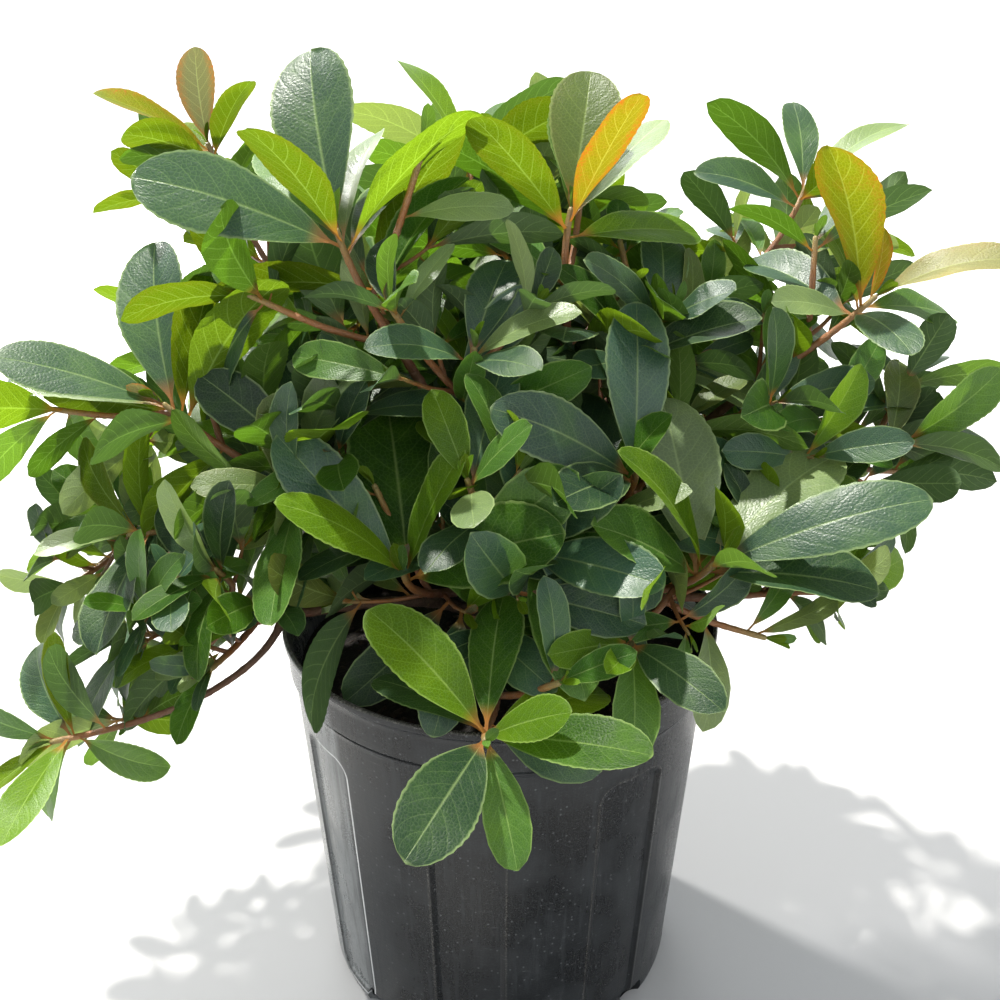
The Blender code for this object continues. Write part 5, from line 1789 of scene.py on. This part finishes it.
def opened(leaf):
    """The leaf rolled on its midline, so that it shows its face to the front by its own share."""
    if leaf["open"] is None:
        return leaf
    chord = (leaf["way"] - leaf["up"] * (leaf["bend"] / 2)).normalized()
    to_view = VIEW_POINT - leaf["base"] - chord * leaf["length"] * 0.5
    facing = (to_view - chord * to_view.dot(chord)).normalized()
    across = facing.cross(chord)
    lean = math.copysign(math.sqrt(1 - leaf["open"] ** 2), leaf["up"].dot(across))
    up = facing * leaf["open"] + across * lean
    way = (chord + up * (leaf["bend"] / 2)).normalized()
    turned_leaf = dict(leaf)
    turned_leaf["way"] = way
    turned_leaf["up"] = (up - way * up.dot(way)).normalized()
    return turned_leaf


def leaf_rows(count):
    even = np.linspace(0.0, 1.0, count)
    return 1 - (1 - even) ** 1.25


def toothed_outline(rows, columns):
    """Half width at each place of the blade's grid. Every other row of the margin is a tooth."""
    odd = np.arange(len(rows)) % 2 == 1
    teeth = np.where((rows > TOOTH_START) & (rows < TOOTH_END), np.where(odd, TOOTH_DEPTH, -TOOTH_DEPTH), 0.0)
    margin = np.where(np.abs(columns) > 0.99, 1.0, 0.0)
    return blade_outline(rows)[:, None] * (1 + teeth[:, None] * margin)


def leaf_mesh(name, leaves, rows, columns, mat):
    leaves = [opened(leaf) for leaf in leaves]

    def stack(key):
        return np.array([leaf[key] for leaf in leaves], float)[:, None, None]

    def stack_vectors(key):
        return np.array([tuple(leaf[key]) for leaf in leaves])[:, None, None, :]

    way = stack_vectors("way")
    up = stack_vectors("up")
    length = stack("length") * stack("stretch")
    half = stack("width") * stack("length") / 2 * WIDER * stack("breadth")
    x = rows[None, :, None]
    a = columns[None, None, :]
    stalk = STALK_HALF * np.clip(length / 0.05, 0.5, 1.2)
    width = np.maximum(toothed_outline(rows, columns) * half, stalk * (1 - x) ** 0.5)
    width = np.where(x >= 0.9999, TIP_WIDTH * half, width)
    y = a * width
    fold = stack("fold") * (1 - 0.4 * x)
    ripple = stack("wave") * half * np.abs(a) ** 2 * np.sin(RIPPLES * x + stack("phase") + 1.7 * a)
    z = fold * np.abs(y) + stack("cup") * y * y / np.maximum(half, 1e-6) + ripple * np.clip(x * 2, 0, 1)
    turn = stack("twist") * x
    aside = y * np.cos(turn) - z * np.sin(turn) + stack("side") * x * x * length
    lift = y * np.sin(turn) + z * np.cos(turn) - (stack("bend") * x * x / 2 + stack("hook") * x ** 4) * length
    forward = x * length + 0.0 * a
    points = (stack_vectors("base") + way * forward[..., None]
              + np.cross(up, way) * aside[..., None] + up * lift[..., None])
    shape = points.shape[:3]
    index = np.arange(points.size // 3).reshape(shape)
    quads = np.stack([index[:, :-1, :-1], index[:, 1:, :-1], index[:, 1:, 1:], index[:, :-1, 1:]], -1)
    u = np.broadcast_to(0.5 + 0.5 * a, shape).reshape(-1)
    v = np.broadcast_to(x, shape).reshape(-1)
    shade = np.broadcast_to(stack("shade"), shape).reshape(-1)
    return joined_mesh(name, points.reshape(-1, 3), quads.reshape(-1, 4), mat, {"shade": shade},
                       np.stack([u, v], -1))


def joined_mesh(name, points, quads, mat, attributes, uv=None):
    mesh = bpy.data.meshes.new(name)
    mesh.vertices.add(len(points))
    mesh.vertices.foreach_set("co", points.astype(np.float32).ravel())
    mesh.loops.add(len(quads) * 4)
    mesh.loops.foreach_set("vertex_index", quads.astype(np.int32).ravel())
    mesh.polygons.add(len(quads))
    mesh.polygons.foreach_set("loop_start", np.arange(0, len(quads) * 4, 4, dtype=np.int32))
    mesh.update(calc_edges=True)
    mesh.validate()
    for label, values in attributes.items():
        mesh.attributes.new(label, "FLOAT", "POINT").data.foreach_set("value", values.astype(np.float32))
    if uv is not None:
        layer = mesh.uv_layers.new(name="leaf_map")
        layer.data.foreach_set("uv", uv[quads.ravel()].astype(np.float32).ravel())
    mesh.polygons.foreach_set("use_smooth", np.ones(len(quads), bool))
    mesh.materials.append(mat)
    obj = bpy.data.objects.new(name, mesh)
    bpy.context.scene.collection.objects.link(obj)
    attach(obj, "root")
    return obj


FINE_ROWS = leaf_rows(33)
FINE_COLUMNS = np.array([-1.0, -0.82, -0.45, -0.07, 0.07, 0.45, 0.82, 1.0])
PLAIN_ROWS = leaf_rows(14)
PLAIN_COLUMNS = np.array([-1.0, -0.55, -0.09, 0.09, 0.55, 1.0])
SMALL_ROWS = leaf_rows(9)
SMALL_COLUMNS = np.array([-1.0, 0.0, 1.0])
LARGE_LEAF = 5.6 * CM

triangles = 0
for tint, mat in LEAF_MATERIALS.items():
    mine = [leaf for leaf in LEAVES + FINE_LEAVES if leaf["tint"] == tint]
    large = [leaf for leaf in mine if leaf["place"] == "star" or leaf["length"] > LARGE_LEAF]
    small = [leaf for leaf in mine if leaf["place"] != "star" and leaf["length"] <= LARGE_LEAF]
    young = [leaf for leaf in YOUNG if leaf["tint"] == tint]
    sets = [("large", large, FINE_ROWS, FINE_COLUMNS), ("small", small, PLAIN_ROWS, PLAIN_COLUMNS),
            ("young", young, SMALL_ROWS, SMALL_COLUMNS)]
    for size, group, rows, columns in sets:
        if not group:
            continue
        piece = leaf_mesh("leaves_%s_%s" % (tint, size), group, rows, columns, mat)
        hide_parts(*sorted({"mass_" + leaf["mass"] for leaf in group}))
        triangles += 2 * len(piece.data.polygons)
print("leaf triangles:", triangles)

# %% [markdown]
# Bark. Old wood is grey-brown with small cracks and raised pores, and the year's growth is smooth and
# red-brown, green at its tip. The age of the wood is stored on the mesh as a number from 0 at the trunk to
# 1 at the tips, and a colour ramp reads it.


# %% Bark material
OLD_BARK = (0.085, 0.058, 0.042)
BARK_BY_AGE = ((0.35, (0.100, 0.052, 0.030)), (0.62, (0.125, 0.044, 0.018)), (0.88, (0.24, 0.090, 0.020)))
TIP_BARK = (0.20, 0.16, 0.045)


def bark_material():
    mat, tree, shader = new_material("bark")
    age = signal(tree, "ShaderNodeAttribute", "Fac", attribute_name="age")
    ramp = add(tree, "ShaderNodeValToRGB", {"Fac": age})
    stops = ramp.color_ramp.elements
    stops[0].color = (*OLD_BARK, 1.0)
    stops[1].color = (*TIP_BARK, 1.0)
    for position, colour in BARK_BY_AGE:
        stops.new(position).color = (*colour, 1.0)
    blotch, grain = dust(tree, 160.0, 1500.0)
    cracks = cells(object_place(tree), 520.0, feature="DISTANCE_TO_EDGE")
    crack = smooth(cracks, 0.10, 0.0) * smooth(age, 0.6, 0.1)
    colour = cover(Signal(tree, ramp.outputs["Color"]), (blotch, 0.40, (0.21, 0.135, 0.085)),
                   (grain, 0.35, (0.07, 0.035, 0.022)), (crack, 0.7, (0.035, 0.020, 0.014)))
    finish_shader(shader, colour, smooth(age, 0.0, 1.0, 0.85, 0.48))
    raise_relief(shader, grain - crack, 0.6, 0.35 * MM)
    return mat


BARK = bark_material()
print("bark material:", len(BARK.node_tree.nodes), "nodes")

# %% [markdown]
# Stems with relief. A fine tube follows each limb. Its radius swells at the collar where it leaves its
# parent and at the rings left by old leaves, and noise raises ridges along the older wood.


# %% Stem meshes
def fine_line(points, step):
    """Smooth line through the points with a place about every step."""
    out = []
    last = len(points) - 1
    for i in range(last):
        p0 = points[max(i - 1, 0)]
        p1 = points[i]
        p2 = points[i + 1]
        p3 = points[min(i + 2, last)]
        count = max(1, round((p2 - p1).length / step))
        for j in range(count):
            t = j / count
            out.append(0.5 * (2 * p1 + (p2 - p0) * t + (2 * p0 - 5 * p1 + 4 * p2 - p3) * t * t
                              + (3 * p1 - p0 - 3 * p2 + p3) * t ** 3))
    out.append(points[-1].copy())
    return out


# How a twig rounds off past its end: distance and radius as shares of its last radius
ROUND_END = [(0.5, 0.86), (0.86, 0.50), (1.0, 0.15)]
SCAR_WIDTH = 0.9 * MM
SCAR_SWELL = 0.13
COLLAR_SWELL = 0.45
COLLAR_REACH = 4 * MM
# Age of the wood, from 0 at the trunk to 1 at the tips: where a bough leaves the trunk or another bough,
# where its stem starts, and where a twig starts
BOUGH_AGE = 0.05
BRANCH_AGE = 0.30
STEM_AGE = 0.55
TWIG_AGE = 0.66


def stem_parts(line, radius_of, age_of, sides, relief, rng, scar_gap, rounded=False):
    """Points, quads and ages of one closed stem with collars, scars and ridges."""
    shares = [1.0] * len(line)
    if rounded:
        onward = (line[-1] - line[-2]).normalized() * radius_of(1.0)
        end = line[-1]
        line = line + [end + onward * reach for reach, _ in ROUND_END]
        shares += [share for _, share in ROUND_END]
    total = line_length(line)
    lengths = [0.0]
    for a, b in zip(line, line[1:]):
        lengths.append(lengths[-1] + (b - a).length)
    scars = []
    place = rng.uniform(0.4, 1.0) * scar_gap
    while place < total - 2 * MM:
        scars.append(place)
        place += scar_gap * rng.uniform(0.6, 1.5)
    radii = []
    for s, share in zip(lengths, shares):
        radius = radius_of(s / total) * share
        swell = sum(math.exp(-((s - scar) / SCAR_WIDTH) ** 2) for scar in scars)
        radii.append(radius * (1 + SCAR_SWELL * min(swell, 1.0)))
    verts, faces = tube(line, radii, sides)
    points = []
    for i, v in enumerate(verts):
        middle = line[i // sides]
        out = v - middle
        old = 1.0 - age_of(lengths[i // sides] / total)
        bumps = noise.noise(v * 420.0) * 0.10 + noise.noise(v * 1100.0) * 0.05
        points.append(middle + out * (1 + relief * (0.35 + old) * bumps))
    ages = [age_of(lengths[i // sides] / total) for i in range(len(verts))]
    first = len(points)
    points += [line[0].copy(), line[-1].copy()]
    ages += [ages[0], ages[-1]]
    quads = faces[2:]
    ring = (len(line) - 1) * sides
    for k in range(0, sides, 2):
        quads.append((first, (k + 2) % sides, k + 1, k))
        quads.append((first + 1, ring + k, ring + k + 1, ring + (k + 2) % sides))
    return points, quads, ages


def stem_mesh(name, stems, nodes):
    points = []
    quads = []
    ages = []
    for part_points, part_quads, part_ages in stems:
        start = len(points)
        points += part_points
        quads += [tuple(start + i for i in quad) for quad in part_quads]
        ages += part_ages
    piece = joined_mesh(name, np.array([tuple(p) for p in points]), np.array(quads), BARK,
                        {"age": np.array(ages)})
    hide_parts(*nodes)
    return piece


stem_rng = random.Random(131)
trunk_line = fine_line([TRUNK_FOOT - UP * 5 * MM] + LIMBS["trunk"]["line"], 1.3 * MM)
trunk_part = stem_parts(trunk_line, lambda s: trunk_radius(max(0.0, (s - 0.07) / 0.93)), lambda s: 0.0,
                        32, 1.5, stem_rng, 9 * MM)
trunk = stem_mesh("trunk_bark", [trunk_part], ["trunk"])

bough_parts = []
for name, limb in BOUGHS.items():
    inward = -limb["square"] * (0.5 * limb["base_radius"] + GAP)
    whole = [limb["line"][0] + inward] + limb["line"]
    old_share = BOUGH_AGE if limb["parent"] == "trunk" else BRANCH_AGE
    line = fine_line(cut_line(whole, 0.0, limb["entry"] + 0.01, 22), 1.6 * MM)

    def bough_radius(s, limb=limb):
        reach = s * limb["entry"] * line_length(limb["line"])
        return radius_at(limb, s * limb["entry"]) * (1 + COLLAR_SWELL * math.exp(-reach / COLLAR_REACH))

    bough_parts.append(stem_parts(line, bough_radius, lambda s, low=old_share: low + (STEM_AGE - low) * s,
                                  14, 1.0, stem_rng, 13 * MM))
boughs = stem_mesh("boughs_bark", bough_parts, ["bough_" + name for name in BOUGHS])

twig_parts = []
for shoot in SHOOTS_GROWN + FINE_SHOOTS:
    limb = BOUGHS[shoot["mass"]]
    points = cut_line(limb["line"], limb["entry"], 1.0, 12) if shoot["main"] else shoot["line"]
    thick = shoot["radii"][0]
    thin = shoot["radii"][-1] * 0.9
    start_age = STEM_AGE if shoot["main"] else TWIG_AGE
    twig_parts.append(stem_parts(fine_line(points, 2.2 * MM), lambda s, a=thick, b=thin: a + (b - a) * s,
                                 lambda s, low=start_age: low + (1.0 - low) * s,
                                 8 if shoot["rank"] < 2 else 6, 0.7, stem_rng, 5 * MM, True))
twigs = stem_mesh("twigs", twig_parts, ["mass_" + name for name in BOUGHS])
print("stem triangles:", 2 * sum(len(piece.data.polygons) for piece in (trunk, boughs, twigs)))

# %% [markdown]
# Last, the size of the box of the solids is printed.

# %% Print the size of the solids and finish
print("size of the solids", [round(b - a, 4) for a, b in zip(CAD_LOW, CAD_HIGH)])
